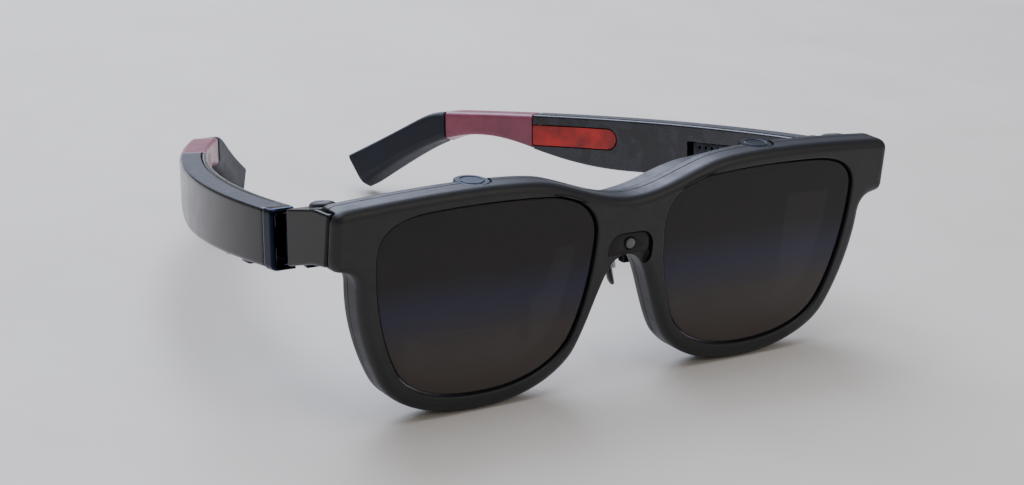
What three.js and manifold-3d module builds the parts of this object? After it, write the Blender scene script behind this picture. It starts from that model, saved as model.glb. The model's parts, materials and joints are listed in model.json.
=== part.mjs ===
// Smart glasses: a front frame with two see-through display optics, and two folding temples.
// Millimetres. X is the wearer's left, Y runs back from the front face, Z is up, and the rims and
// temple tips stand on Z = 0. Every left-hand piece is drawn once and mirrored for the right.
import * as THREE from 'three';
import { mergeVertices } from 'three/addons/utils/BufferGeometryUtils.js';
import Module from 'manifold-3d';

const wasm = await Module();
wasm.setup();

// ---------------------------------------------------------------- driving dimensions
const GAP = 0.3;                 // clearance between touching pieces
const DEPTH = 144.8;             // front face to temple tips
const COVER_DEPTH = 4.6;         // front cover, front to back
const CHASSIS_FRONT = COVER_DEPTH + GAP;
const CHASSIS_BACK = 7.7;
const HOUSING_FRONT = CHASSIS_BACK + GAP;
const HOUSING_BACK = 15;
const WALL = 1.4;
const PANE_FRONT = 0.8;
const PANE_THICKNESS = 2.2;
const EYE_X = 36;                // middle of each optic
const OPTIC_HALF_WIDTH = 16.6;
const OPTIC_LEFT = EYE_X - OPTIC_HALF_WIDTH;
const OPTIC_RIGHT = EYE_X + OPTIC_HALF_WIDTH;
const OPTIC_BOTTOM = 10;
const OPTIC_TOP = 42;
const OPTIC_BACK = 23.5;
const OPTIC_SHALLOW_BACK = 10;   // depth at the foot of the slanted splitter
const OPTIC_CHAMFER = 5;         // slanted top corners of the optic frame
const SPLITTER_TOP = 26;
const SPLITTER_THICKNESS = 1.1;
const DIAL_RADIUS = 3.9;
const DIAL_X = 38.9;
const DIAL_Y = 6.4;
const DIAL_BOTTOM = 46.9;
const DIAL_TOP = 48.6;
const HINGE = { x: 69.3, y: 19.6, z: 36.5 };
const TILT = THREE.MathUtils.degToRad(9.4);   // temples run down towards the tips
const BARREL_RADIUS = 1.6;
const BARREL_HALF = 4.6;
const BARREL_MIDDLE = 1.9;
const PIN_RADIUS = 0.8;
const TEMPLE_OUT = 7.2;          // outer face of the temple, out from the hinge axis
const TEMPLE_THICKNESS = 6.6;
const TEMPLE_START = 6.1;        // first millimetre of the shell behind the hinge axis
const TEMPLE_HALF_HEIGHT = 6.2;
const BOW_RADIUS = 175;          // the temple bends inwards along one arc
const SHELL_END = 90;            // arc lengths along the outer face
const SLEEVE_END = 116;
const TIP_END = 144;
const TIP_HEIGHT = 9.28;
const SHELL_WALL = 1.3;
const PAD = { x: 10.6, y: 20.0, z: 21.8 };    // middle of the left nose pad

// ---------------------------------------------------------------- helpers
const colours = {
  softBlack: [0x17181b, 0.55, 0.0], gloss: [0x0b0b0d, 0.08, 0.0], satin: [0x1c2430, 0.4, 0.1],
  glass: [0x2a2622, 0.05, 0.0], mirror: [0x8a93a0, 0.05, 0.6],
  metal: [0x2a3550, 0.25, 1.0], steel: [0xb5b8bc, 0.3, 1.0], board: [0x16402c, 0.5, 0.0],
  display: [0x101820, 0.1, 0.0], silicone: [0x141416, 0.7, 0.0],
  red: [0xd4281e, 0.35, 0.0], rose: [0xb0607a, 0.3, 0.0], tip: [0x161e2c, 0.5, 0.0],
  grille: [0x303338, 0.4, 0.8], gold: [0xc9a24a, 0.3, 1.0], dot: [0x6a6a6c, 0.4, 0.0],
};

function named(name, colour, geometry) {
  const [color, roughness, metalness] = colours[colour];
  const mesh = new THREE.Mesh(geometry, new THREE.MeshStandardMaterial({ color, roughness, metalness }));
  mesh.name = name;
  return mesh;
}

// A closed geometry as a manifold solid, and back.
function toSolid(geometry) {
  const bare = geometry.clone();
  bare.deleteAttribute('normal');
  bare.deleteAttribute('uv');
  const merged = mergeVertices(bare, 1e-4);
  const vertProperties = new Float32Array(merged.attributes.position.array);
  const triVerts = new Uint32Array(merged.index.array);
  return new wasm.Manifold(new wasm.Mesh({ numProp: 3, vertProperties, triVerts }));
}

function toGeometry(solid) {
  const mesh = solid.getMesh();
  const geometry = new THREE.BufferGeometry();
  geometry.setAttribute('position', new THREE.BufferAttribute(new Float32Array(mesh.vertProperties), 3));
  geometry.setIndex(new THREE.BufferAttribute(new Uint32Array(mesh.triVerts), 1));
  geometry.computeVertexNormals();
  return geometry;
}

const cut = (body, ...tools) => toGeometry(tools.reduce((a, b) => a.subtract(toSolid(b)), toSolid(body)));
const join = (body, ...others) => toGeometry(others.reduce((a, b) => a.add(toSolid(b)), toSolid(body)));
const common = (a, b) => toGeometry(toSolid(a).intersect(toSolid(b)));

function mirrored(geometry) {
  const copy = geometry.index ? geometry.clone() : mergeVertices(geometry.clone());
  copy.scale(-1, 1, 1);
  const order = copy.index.array;
  for (let i = 0; i < order.length; i += 3) {
    [order[i], order[i + 1]] = [order[i + 1], order[i]];
  }
  return copy;
}

function box(x0, x1, y0, y1, z0, z1) {
  const geometry = new THREE.BoxGeometry(x1 - x0, y1 - y0, z1 - z0);
  return geometry.translate((x0 + x1) / 2, (y0 + y1) / 2, (z0 + z1) / 2);
}

// Shapes drawn as (x, z), pushed along Y; as (y, z), pushed along X; as (x, y), pushed along Z.
function alongY(shape, y0, y1, { bevel = 0, inset = 0, steps = 8 } = {}) {
  const edge = bevel || (inset ? 0.2 : 0);
  const geometry = new THREE.ExtrudeGeometry(shape, {
    depth: y1 - y0 - 2 * edge, bevelEnabled: edge > 0, bevelThickness: edge, bevelSize: edge,
    bevelOffset: -edge - inset, bevelSegments: bevel > 1 ? 2 : 1, curveSegments: steps,
  });
  return geometry.rotateX(Math.PI / 2).translate(0, y1 - edge, 0);
}

function alongX(shape, x0, x1, steps = 8) {
  const geometry = new THREE.ExtrudeGeometry(shape, { depth: x1 - x0, bevelEnabled: false, curveSegments: steps });
  return geometry.rotateY(Math.PI / 2).rotateX(Math.PI / 2).translate(x0, 0, 0);
}

function alongZ(shape, z0, z1, steps = 8) {
  const geometry = new THREE.ExtrudeGeometry(shape, { depth: z1 - z0, bevelEnabled: false, curveSegments: steps });
  return geometry.translate(0, 0, z0);
}

const polygon = (...points) => new THREE.Shape(points.map(([a, b]) => new THREE.Vector2(a, b)));

function rod(radius, z0, z1, x = 0, y = 0, sides = 20) {
  const geometry = new THREE.CylinderGeometry(radius, radius, z1 - z0, sides);
  return geometry.rotateX(Math.PI / 2).translate(x, y, (z0 + z1) / 2);
}

function rodAlongY(radius, y0, y1, x, z, sides = 16) {
  return new THREE.CylinderGeometry(radius, radius, y1 - y0, sides).translate(x, (y0 + y1) / 2, z);
}

function roundedBar(halfWidth, halfHeight, radius, cx = 0, cy = 0) {
  const shape = new THREE.Shape();
  const [w, h] = [halfWidth - radius, halfHeight - radius];
  shape.absarc(cx + w, cy + h, radius, 0, Math.PI / 2);
  shape.absarc(cx - w, cy + h, radius, Math.PI / 2, Math.PI);
  shape.absarc(cx - w, cy - h, radius, Math.PI, 1.5 * Math.PI);
  shape.absarc(cx + w, cy - h, radius, 1.5 * Math.PI, 2 * Math.PI);
  return shape;
}

// ---------------------------------------------------------------- outlines of the front, as (x, z)
// Half of the front from the bridge top round the endpiece and rim to the bridge underside.
const HALF_FRONT = [
  [8, 42.9, 14, 46.2, 22, 48.2],
  [30, 50.0, 50, 49.8, 72.3, 48.3],
  [74.2, 48.1, 75.3, 47.2, 75.3, 45.3],
  [75.3, 43, 75.2, 40.5, 75.2, 38.2],
  [75.1, 36.3, 74.4, 35.6, 72.6, 35.3],
  [70.4, 34.9, 68.9, 34.0, 68.6, 31.2],
  [68.2, 24.0, 65.6, 16.0, 61.4, 9.2],
  [57.4, 3.0, 47, 0, 36.4, 0],
  [25.4, 0, 17.4, 3.2, 13.0, 8.4],
  [10.2, 12.4, 8.2, 19.0, 6.2, 23.6],
  [5.0, 26.6, 3.2, 29.4, 0, 29.5],
];
const BRIDGE_TOP = 42.8;

function frontOutline() {
  const shape = new THREE.Shape();
  shape.moveTo(0, BRIDGE_TOP);
  for (const [ax, az, bx, bz, x, z] of HALF_FRONT) {
    shape.bezierCurveTo(-ax, az, -bx, bz, -x, z);
  }
  for (let i = HALF_FRONT.length - 1; i >= 0; i -= 1) {
    const [ax, az, bx, bz] = HALF_FRONT[i];
    const [endX, endZ] = i > 0 ? HALF_FRONT[i - 1].slice(4) : [0, BRIDGE_TOP];
    shape.bezierCurveTo(bx, bz, ax, az, endX, endZ);
  }
  return shape;
}

// The lens pane, from its top nasal corner.
function paneOutline(side) {
  const shape = new THREE.Shape();
  const curves = [
    [30, 46.2, 42, 46.4, 52, 45.9],
    [60.5, 45.5, 65.2, 43.2, 65.0, 37.0],
    [64.8, 28, 62.2, 17.5, 58.0, 11.2],
    [54.6, 6.2, 46.5, 3.8, 36.5, 3.8],
    [26.0, 3.8, 18.6, 6.6, 14.6, 12.0],
    [11.4, 17.2, 9.2, 27.5, 9.2, 35.5],
    [9.4, 40.5, 13.0, 44.2, 21, 45.4],
  ];
  shape.moveTo(side * 21, 45.4);
  for (const [ax, az, bx, bz, x, z] of curves) {
    shape.bezierCurveTo(side * ax, az, side * bx, bz, side * x, z);
  }
  return shape;
}

// ---------------------------------------------------------------- front frame
const dialPocket = (side) => rod(DIAL_RADIUS + GAP, DIAL_BOTTOM - GAP, DIAL_TOP + GAP, side * DIAL_X, DIAL_Y, 28);
const trimPocket = (side) => {
  const sideFace = box(74.0, 80, 2.0, 30, 30, 50);
  return side > 0 ? sideFace : mirrored(sideFace);
};
const sensorRecess = () => roundedBar(6.2, 4.4, 3.6, 0, 30.6);

function frontCover() {
  const shape = frontOutline();
  shape.holes.push(paneOutline(1), paneOutline(-1));
  const shell = alongY(shape, 0, COVER_DEPTH, { bevel: 0.9, steps: 7 });
  const recess = alongY(sensorRecess(), -1, 1.2, { steps: 4 });
  return cut(shell, recess, dialPocket(1), dialPocket(-1), trimPocket(1), trimPocket(-1));
}

function chassis() {
  const shape = frontOutline();
  shape.holes.push(paneOutline(1), paneOutline(-1));
  const ring = alongY(shape, CHASSIS_FRONT, CHASSIS_BACK, { steps: 6 });
  return cut(ring, dialPocket(1), dialPocket(-1), trimPocket(1), trimPocket(-1));
}

const lensPane = (side) => alongY(paneOutline(side), PANE_FRONT, PANE_FRONT + PANE_THICKNESS, { bevel: 0.3, inset: GAP });

// The bridge plate sits in the recess between the lenses, with a round light sensor in it.
function bridgePlate() {
  const plate = alongY(roundedBar(5.9, 4.1, 3.3, 0, 30.6), 0.5, 0.9, { steps: 4 });
  const archway = box(-7, 7, -1, 2, 20, 29.9);
  return cut(plate, archway, rodAlongY(1.5, -1, 2, 0, 32.4));
}
const lightSensor = () => rodAlongY(1.2, 0.1, 0.9, 0, 32.4);

// The rear housing closes the brow behind the chassis; the optics hang through its two notches.
function rearHousing() {
  const [notchLeft, notchRight] = [OPTIC_LEFT - GAP, OPTIC_RIGHT + GAP];
  const half = [
    [0, 39.9], [9, 41.2], [16, 43.6], [22, 45.0], [38, 46.2], [55, 46.0], [64, 45.2], [66, 44.4],
    [66, 35], [notchRight, 35], [notchRight, OPTIC_TOP - OPTIC_CHAMFER],
    [notchRight - OPTIC_CHAMFER - GAP, OPTIC_TOP + GAP], [notchLeft + OPTIC_CHAMFER + GAP, OPTIC_TOP + GAP],
    [notchLeft, OPTIC_TOP - OPTIC_CHAMFER], [notchLeft, 31.4],
    [12, 30.6], [7, 31.6], [0, 32.6],
  ];
  const other = half.slice(1, -1).reverse().map(([x, z]) => [-x, z]);
  const shell = alongY(polygon(...half, ...other), HOUSING_FRONT, HOUSING_BACK, { bevel: 0.6 });
  const wiring = box(-17, 17, HOUSING_FRONT - 1, HOUSING_BACK - WALL, 34, 38.4);
  const bay = box(54.6, 64.4, HOUSING_FRONT - 1, HOUSING_BACK - WALL, 36.6, 43.2);
  return cut(shell, wiring, bay, mirrored(bay), dialPocket(1), dialPocket(-1));
}

// ---------------------------------------------------------------- display optics, left eye
// Block seen from the front, with slanted top corners, its faces moved in by `inset`.
function opticFront(inset) {
  const [left, right, top] = [OPTIC_LEFT + inset, OPTIC_RIGHT - inset, OPTIC_TOP - inset];
  return alongY(polygon([left, 0], [right, 0], [right, top - OPTIC_CHAMFER], [right - OPTIC_CHAMFER, top],
    [left + OPTIC_CHAMFER, top], [left, top - OPTIC_CHAMFER]), -1, 40);
}

function opticFrame() {
  const side = polygon([HOUSING_FRONT, OPTIC_BOTTOM], [OPTIC_SHALLOW_BACK, OPTIC_BOTTOM],
    [OPTIC_BACK, SPLITTER_TOP], [OPTIC_BACK, OPTIC_TOP - 4], [OPTIC_BACK - 5, OPTIC_TOP], [HOUSING_FRONT, OPTIC_TOP]);
  const block = common(alongX(side, OPTIC_LEFT, OPTIC_RIGHT), opticFront(0));
  const tunnel = polygon([0, 0], [OPTIC_SHALLOW_BACK - 1, 0], [OPTIC_SHALLOW_BACK + 3.0, 11],
    [OPTIC_BACK - WALL, SPLITTER_TOP + 1.2], [OPTIC_BACK - WALL, OPTIC_TOP - WALL - 4],
    [OPTIC_BACK - WALL - 5, OPTIC_TOP - WALL], [0, OPTIC_TOP - WALL]);
  const light = common(alongX(tunnel, OPTIC_LEFT + WALL, OPTIC_RIGHT - WALL), opticFront(WALL));
  const eyeWindow = box(OPTIC_LEFT + 3.2, OPTIC_RIGHT - 3.2, 9, 40, 8, SPLITTER_TOP - 2.4);
  return cut(block, light, eyeWindow);
}

// Half-silvered plate at a slant from the front foot to the rear top of the light path.
function beamSplitter() {
  const run = Math.hypot(OPTIC_BACK - OPTIC_SHALLOW_BACK, SPLITTER_TOP - OPTIC_BOTTOM);
  const slant = Math.atan2(OPTIC_BACK - OPTIC_SHALLOW_BACK, SPLITTER_TOP - OPTIC_BOTTOM);
  const plate = new THREE.BoxGeometry(2 * (OPTIC_HALF_WIDTH - WALL - GAP), SPLITTER_THICKNESS, run - 6.4);
  return plate.rotateX(-slant).translate(EYE_X, (OPTIC_BACK + OPTIC_SHALLOW_BACK) / 2 - 1.8,
    (SPLITTER_TOP + OPTIC_BOTTOM) / 2 + 2.2);
}

// Curved combiner: a spherical shell cut to a tongue with round lower corners, hollow towards the eye.
function combiner() {
  const radius = 46;
  const centre = 8.6 + radius - 1.9;
  const tongue = new THREE.Shape();
  tongue.moveTo(EYE_X - 15, 33);
  tongue.lineTo(EYE_X - 15, 22);
  tongue.bezierCurveTo(EYE_X - 15, 14.5, EYE_X - 9, 11.6, EYE_X, 11.6);
  tongue.bezierCurveTo(EYE_X + 9, 11.6, EYE_X + 15, 14.5, EYE_X + 15, 22);
  tongue.lineTo(EYE_X + 15, 33);
  const blank = alongY(tongue, 0, 9.6, { steps: 6 });
  const ball = (r) => new THREE.SphereGeometry(r, 36, 24).translate(EYE_X, centre, 25);
  return toGeometry(toSolid(blank).intersect(toSolid(ball(radius + 1.2))).subtract(toSolid(ball(radius))));
}

const microDisplay = () => box(EYE_X - 7, EYE_X + 7, 10.2, 17.8, 38.2, 39.2);
const focusLens = () => join(
  rod(5.8, 35.0, 35.8, EYE_X, 15.6, 28),
  rod(5.0, 34.2, 35.4, EYE_X, 15.6, 28),
);
const focusCarriage = () => cut(
  box(EYE_X - 8.4, EYE_X + 8.4, 9.4, 21.4, 33.9, 36.2),
  rod(6.1, 33, 37, EYE_X, 15.6, 28),
);

// Knurled focus dial: a low wheel with a ring of teeth.
function focusDial() {
  const wheel = new THREE.Shape();
  const teeth = 26;
  for (let i = 0; i < 2 * teeth; i += 1) {
    const radius = i % 2 ? DIAL_RADIUS : DIAL_RADIUS - 0.28;
    const angle = (i * Math.PI) / teeth;
    const move = i ? 'lineTo' : 'moveTo';
    wheel[move](radius * Math.cos(angle), radius * Math.sin(angle));
  }
  return alongZ(wheel, DIAL_BOTTOM, DIAL_TOP).translate(DIAL_X, DIAL_Y, 0);
}

// ---------------------------------------------------------------- bridge, nose pads
function noseBracket() {
  const plate = box(-5.2, 5.2, HOUSING_BACK + GAP, HOUSING_BACK + 1.5, 33, 39);
  const arm = polygon([3.2, 33.4], [5.2, 33.4], [13.2, 24.4], [13.2, 21.3], [11.2, 21.3], [11.2, 24.0]);
  const left = join(
    alongY(arm, HOUSING_BACK + GAP, HOUSING_BACK + 1.5),
    box(11.2, 13.2, HOUSING_BACK + GAP, 17.4, 21.3, 23.5),
  );
  return join(plate, left, mirrored(left));
}
const padTurn = new THREE.Matrix4().makeRotationY(-0.34).multiply(new THREE.Matrix4().makeRotationZ(-0.62));

function padPlace(geometry) {
  return geometry.applyMatrix4(padTurn).translate(PAD.x, PAD.y, PAD.z);
}
const nosePad = () => padPlace(alongX(roundedBar(3.6, 7.2, 3.5), -1.5, 0.0, 6));
const padCarrier = () => padPlace(join(alongX(roundedBar(2.0, 3.2, 1.9), GAP, 1.1, 5), box(1.0, 2.1, -0.8, 0.8, -0.9, 0.9)));

// ---------------------------------------------------------------- endpiece and hinge, left side
// The fold axis is upright; the temple behind it runs down by TILT towards its tip. Both groups have
// the hinge as origin: x outwards, y back, z up the axis (upright) or square to the temple (tilted).
const endProfile = () => polygon([HOUSING_FRONT, 46.9], [18.9, 43.6], [17.1, 31.9], [HOUSING_FRONT, 35.2]);

function hingeFrame(side, tilt) {
  const group = new THREE.Group();
  group.position.set(side * HINGE.x, HINGE.y, HINGE.z);
  group.rotation.x = -tilt;
  return group;
}

function endpiece() {
  const block = alongX(endProfile(), 66.3, 73.7);
  const pocket = box(-2.7, 3.3, -5.4, 9, -BARREL_HALF - 0.8, BARREL_HALF + 0.8)
    .translate(HINGE.x, HINGE.y, HINGE.z);
  const wiring = box(67.4, 69.4, 0, 40, 37.6, 40.4);
  return cut(block, pocket, wiring);
}

const sideTrim = () => alongX(polygon([2.4, 47.4], [HOUSING_FRONT, 46.9], [18.9, 43.6], [17.1, 31.9],
  [HOUSING_FRONT, 35.3], [2.4, 36.4]), 74.3, 75.5);

const hingeCap = () => new THREE.SphereGeometry(1, 14, 7).scale(2.6, 3.4, 0.9)
  .rotateX(-0.28).translate(70.0, 13.6, 46.3);

const bore = () => rod(PIN_RADIUS + 0.15, -9, 9);
function hingeLeaf() {
  const ends = [[BARREL_MIDDLE + GAP, BARREL_HALF], [-BARREL_HALF, -BARREL_MIDDLE - GAP]];
  const barrels = ends.flatMap(([z0, z1]) => [rod(BARREL_RADIUS, z0, z1), box(-1.4, 1.4, -3.6, 0, z0, z1)]);
  return cut(join(box(-2.4, 2.9, -5.1, -3.3, -BARREL_HALF, BARREL_HALF), ...barrels), bore());
}

function hingePin() {
  const head = -BARREL_HALF - 0.2;
  const points = [[0, head - 0.3], [BARREL_RADIUS, head - 0.3], [BARREL_RADIUS, head], [PIN_RADIUS, head],
    [PIN_RADIUS, BARREL_HALF + 0.2], [0, BARREL_HALF + 0.2]];
  return new THREE.LatheGeometry(points.map(([r, z]) => new THREE.Vector2(r, z)), 18).rotateX(Math.PI / 2);
}

// ---------------------------------------------------------------- temple, left side
// The outer face follows one arc; an offset strip is cut to the side profile.
const arcCentre = TEMPLE_OUT - BOW_RADIUS;
function strip(outer, inner, s0, s1) {
  const shape = new THREE.Shape();
  const [a0, a1] = [s0 / BOW_RADIUS, s1 / BOW_RADIUS];
  shape.absarc(arcCentre, 0, BOW_RADIUS - outer, a0, a1, false);
  shape.absarc(arcCentre, 0, BOW_RADIUS - inner, a1, a0, true);
  return shape;
}
const back = (s) => BOW_RADIUS * Math.sin(s / BOW_RADIUS);

// Side profile as (y, z), with its faces moved in by `inset`.
const DROOP = { start: 109, end: 119, tip: -16.2, angle: THREE.MathUtils.degToRad(27.3) };
function sideProfile(inset = 0) {
  const [top, low] = [TEMPLE_HALF_HEIGHT - inset, -TEMPLE_HALF_HEIGHT + inset];
  const shape = new THREE.Shape();
  shape.moveTo(0, low);
  shape.lineTo(0, top);
  shape.lineTo(back(DROOP.start), top);
  shape.quadraticCurveTo(back(DROOP.start + 6), top, back(DROOP.end), top - 1.9);
  shape.lineTo(back(TIP_END + 3), top + DROOP.tip);
  shape.lineTo(back(TIP_END + 3), top + DROOP.tip - TIP_HEIGHT + 2 * inset);
  shape.lineTo(back(TIP_END - 8), top + DROOP.tip - TIP_HEIGHT + 5.0 + 2 * inset);
  shape.bezierCurveTo(back(122), low + 1.2, back(113), low + 7.4, back(100), low + 6.4);
  shape.bezierCurveTo(back(89), low + 5.6, back(81), low - 0.6, back(60), low - 0.9);
  shape.bezierCurveTo(back(42), low - 0.9, back(20), low, 0, low);
  return shape;
}

function templePiece(outer, inner, s0, s1, { inset = 0, steps = 10 } = {}) {
  const plan = alongZ(strip(outer, inner, s0, s1), -40, 20, steps);
  return common(plan, alongX(sideProfile(inset), -120, 20, 7));
}

// Outer shell: a channel that opens towards the head.
function templeShell() {
  const blank = templePiece(0, TEMPLE_THICKNESS - SHELL_WALL - GAP, TEMPLE_START, SHELL_END);
  const hollow = templePiece(SHELL_WALL, TEMPLE_THICKNESS, TEMPLE_START + 5, SHELL_END - 3, { inset: SHELL_WALL });
  const throat = box(TEMPLE_OUT - 6, TEMPLE_OUT - SHELL_WALL, 0, TEMPLE_START + 7, -3.2, 3.2);
  return cut(blank, hollow, throat);
}

const grilleArc = { from: 26, to: 40 };
const portholeArc = { from: 62, to: 88 };
function innerCover() {
  const plate = templePiece(TEMPLE_THICKNESS - SHELL_WALL, TEMPLE_THICKNESS, TEMPLE_START, SHELL_END);
  const grilleHole = common(alongZ(strip(0, 9, grilleArc.from - GAP, grilleArc.to + GAP), -40, 20), box(-90, 10, 0, 99, -2.3, 2.3));
  return cut(plate, grilleHole, capsule(portholeArc.from - GAP, portholeArc.to + GAP, 2.6 + GAP, 0, 9));
}

// A long oval drawn on the inner face, through the thickness `outer` to `inner`.
function capsule(s0, s1, halfHeight, outer, inner) {
  const middle = (back(s0) + back(s1)) / 2;
  const oval = roundedBar((back(s1) - back(s0)) / 2, halfHeight, halfHeight - 0.05, middle, 0.9);
  return common(alongZ(strip(outer, inner, s0 - 1, s1 + 1), -40, 20, 8), alongX(oval, -120, 20, 5));
}

function speakerGrille() {
  const plate = alongZ(strip(TEMPLE_THICKNESS - 1.0, TEMPLE_THICKNESS - 0.3, grilleArc.from, grilleArc.to), -2, 2, 4);
  const holes = [];
  for (let column = 0; column < 6; column += 1) {
    for (const z of [-1, 1]) {
      const angle = (grilleArc.from + 2 + column * 2) / BOW_RADIUS;
      holes.push(new THREE.CylinderGeometry(0.45, 0.45, 60, 6).rotateZ(Math.PI / 2 + angle)
        .translate(arcCentre + BOW_RADIUS * Math.cos(angle), BOW_RADIUS * Math.sin(angle), z));
    }
  }
  return cut(plate, ...holes);
}

// Metal band round the outer side of the temple's front end, open towards the head.
function collar() {
  const band = alongX(roundedBar(2.05, 6.55, 0.8, 3.75, 0), 1.9, TEMPLE_OUT + 0.3, 3);
  const throat = box(1.0, 6.2, 0, 9, -5.2, 5.2);
  return cut(band, throat);
}

function templeKnuckle() {
  const arm = box(0, 5.2, -0.5, 1.1, -BARREL_MIDDLE, BARREL_MIDDLE);
  const tang = box(2.3, 5.2, 0, 10.6, -BARREL_MIDDLE, BARREL_MIDDLE).rotateX(-TILT);
  return cut(join(rod(BARREL_RADIUS, -BARREL_MIDDLE, BARREL_MIDDLE), arm, tang), bore());
}

const inside = (outer, inner, s0, s1, z0, z1) => alongZ(strip(outer, inner, s0, s1), z0, z1, 6);
const templeBoard = () => inside(1.9, 2.7, 13, 66, -4.2, 4.2);
const speaker = () => inside(3.1, 4.9, 25, 41, -3.6, 3.6);
const sleeve = () => templePiece(0, TEMPLE_THICKNESS, SHELL_END + GAP, SLEEVE_END);

// The tip ends square to its own run, which drops and turns inwards.
function squareToTip(geometry) {
  const angle = TIP_END / BOW_RADIUS;
  return geometry.rotateX(-DROOP.angle).rotateZ(angle).translate(arcCentre + BOW_RADIUS * Math.cos(angle),
    back(TIP_END), TEMPLE_HALF_HEIGHT + DROOP.tip + 0.9);
}

function tip() {
  const run = templePiece(0.2, TEMPLE_THICKNESS + 0.4, SLEEVE_END + GAP, TIP_END + 4);
  return cut(run, squareToTip(box(-30, 30, 0, 40, -40, 40)));
}
const redWindow = () => capsule(portholeArc.from, portholeArc.to, 2.6, TEMPLE_THICKNESS - SHELL_WALL, TEMPLE_THICKNESS);

// Controls under the right temple: a press button and a rocker in two pockets of the shell.
const BUTTON = { s: 20, half: 2.1 };
const ROCKER = { s: 36, half: 5.6 };
const CONTROL_WIDTH = { outer: 2.0, inner: 4.6 };
const controlFloor = -TEMPLE_HALF_HEIGHT - 1.5;
const controlPocket = ({ s, half }) => inside(CONTROL_WIDTH.outer - GAP, CONTROL_WIDTH.inner + GAP,
  s - half - GAP, s + half + GAP, -12, -4);
const control = ({ s, half }) => inside(CONTROL_WIDTH.outer, CONTROL_WIDTH.inner, s - half, s + half, controlFloor, -4.9);

// Magnetic contact plate in a pocket under the right temple tip's end face.
const portPocket = () => squareToTip(box(-5.7, -1.9, -1.2, 1, -7.9, -1.5));
const contactPort = () => squareToTip(box(-5.4, -2.2, -0.9, -0.1, -7.6, -1.8));

// ---------------------------------------------------------------- assembly
const glasses = new THREE.Group();
glasses.position.y = -DEPTH / 2;

glasses.add(named('front_cover', 'softBlack', frontCover()));
glasses.add(named('chassis', 'softBlack', chassis()));
glasses.add(named('rear_housing', 'softBlack', rearHousing()));
glasses.add(named('bridge_plate', 'gloss', bridgePlate()));
glasses.add(named('light_sensor', 'dot', lightSensor()));
glasses.add(named('nose_bracket', 'softBlack', noseBracket()));
glasses.add(named('main_flex_board', 'board', box(-16, 16, 9, 9.8, 34.6, 37.8)));

const frontPieces = [
  ['lens_pane', 'glass', () => lensPane(1)],
  ['optic_frame', 'softBlack', opticFrame],
  ['beam_splitter', 'mirror', beamSplitter],
  ['combiner', 'mirror', combiner],
  ['micro_display', 'display', microDisplay],
  ['focus_lens', 'glass', focusLens],
  ['focus_carriage', 'softBlack', focusCarriage],
  ['focus_dial', 'satin', focusDial],
  ['nose_pad', 'silicone', nosePad],
  ['pad_carrier', 'steel', padCarrier],
  ['endpiece', 'softBlack', endpiece],
  ['side_trim', 'gloss', sideTrim],
  ['hinge_cap', 'satin', hingeCap],
];
for (const [name, colour, build] of frontPieces) {
  const geometry = build();
  glasses.add(named(`${name}_left`, colour, geometry));
  glasses.add(named(`${name}_right`, colour, mirrored(geometry)));
}

const hingePieces = [
  ['hinge_leaf', 'metal', hingeLeaf],
  ['hinge_pin', 'steel', hingePin],
  ['temple_knuckle', 'metal', templeKnuckle],
];
const templePieces = [
  ['collar', 'metal', collar],
  ['inner_cover', 'gloss', innerCover],
  ['speaker_grille', 'grille', speakerGrille],
  ['speaker', 'steel', speaker],
  ['temple_board', 'board', templeBoard],
  ['red_window', 'red', redWindow],
  ['sleeve', 'rose', sleeve],
];
const shell = templeShell();
const tipBlock = tip();
const [leftHinge, rightHinge] = [hingeFrame(1, 0), hingeFrame(-1, 0)];
const [leftTemple, rightTemple] = [hingeFrame(1, TILT), hingeFrame(-1, TILT)];
leftTemple.add(named('temple_shell_left', 'gloss', shell));
rightTemple.add(named('temple_shell_right', 'gloss',
  mirrored(cut(shell, controlPocket(BUTTON), controlPocket(ROCKER)))));
leftTemple.add(named('temple_tip_left', 'tip', tipBlock));
rightTemple.add(named('temple_tip_right', 'tip', mirrored(cut(tipBlock, portPocket()))));
rightTemple.add(named('mode_button', 'satin', mirrored(control(BUTTON))));
rightTemple.add(named('volume_rocker', 'satin', mirrored(control(ROCKER))));
rightTemple.add(named('contact_port', 'gold', mirrored(contactPort())));
for (const [pieces, left, right] of [[hingePieces, leftHinge, rightHinge], [templePieces, leftTemple, rightTemple]]) {
  for (const [name, colour, build] of pieces) {
    const geometry = build();
    left.add(named(`${name}_left`, colour, geometry));
    right.add(named(`${name}_right`, colour, mirrored(geometry)));
  }
}
glasses.add(leftHinge, rightHinge, leftTemple, rightTemple);

export default glasses;
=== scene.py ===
"""Smart glasses: the visual pieces and their finishes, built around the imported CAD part.

Shapes are drawn in millimetres, with depths counted back from the front face, and become metres
where `at` or `Temple.spot` places a point.
"""

import json
import logging
import math
from collections.abc import Callable, Sequence
from dataclasses import dataclass, field
from enum import Enum

import bmesh
import bpy
from mathutils import Matrix, Vector
from mathutils.geometry import tessellate_polygon


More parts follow.
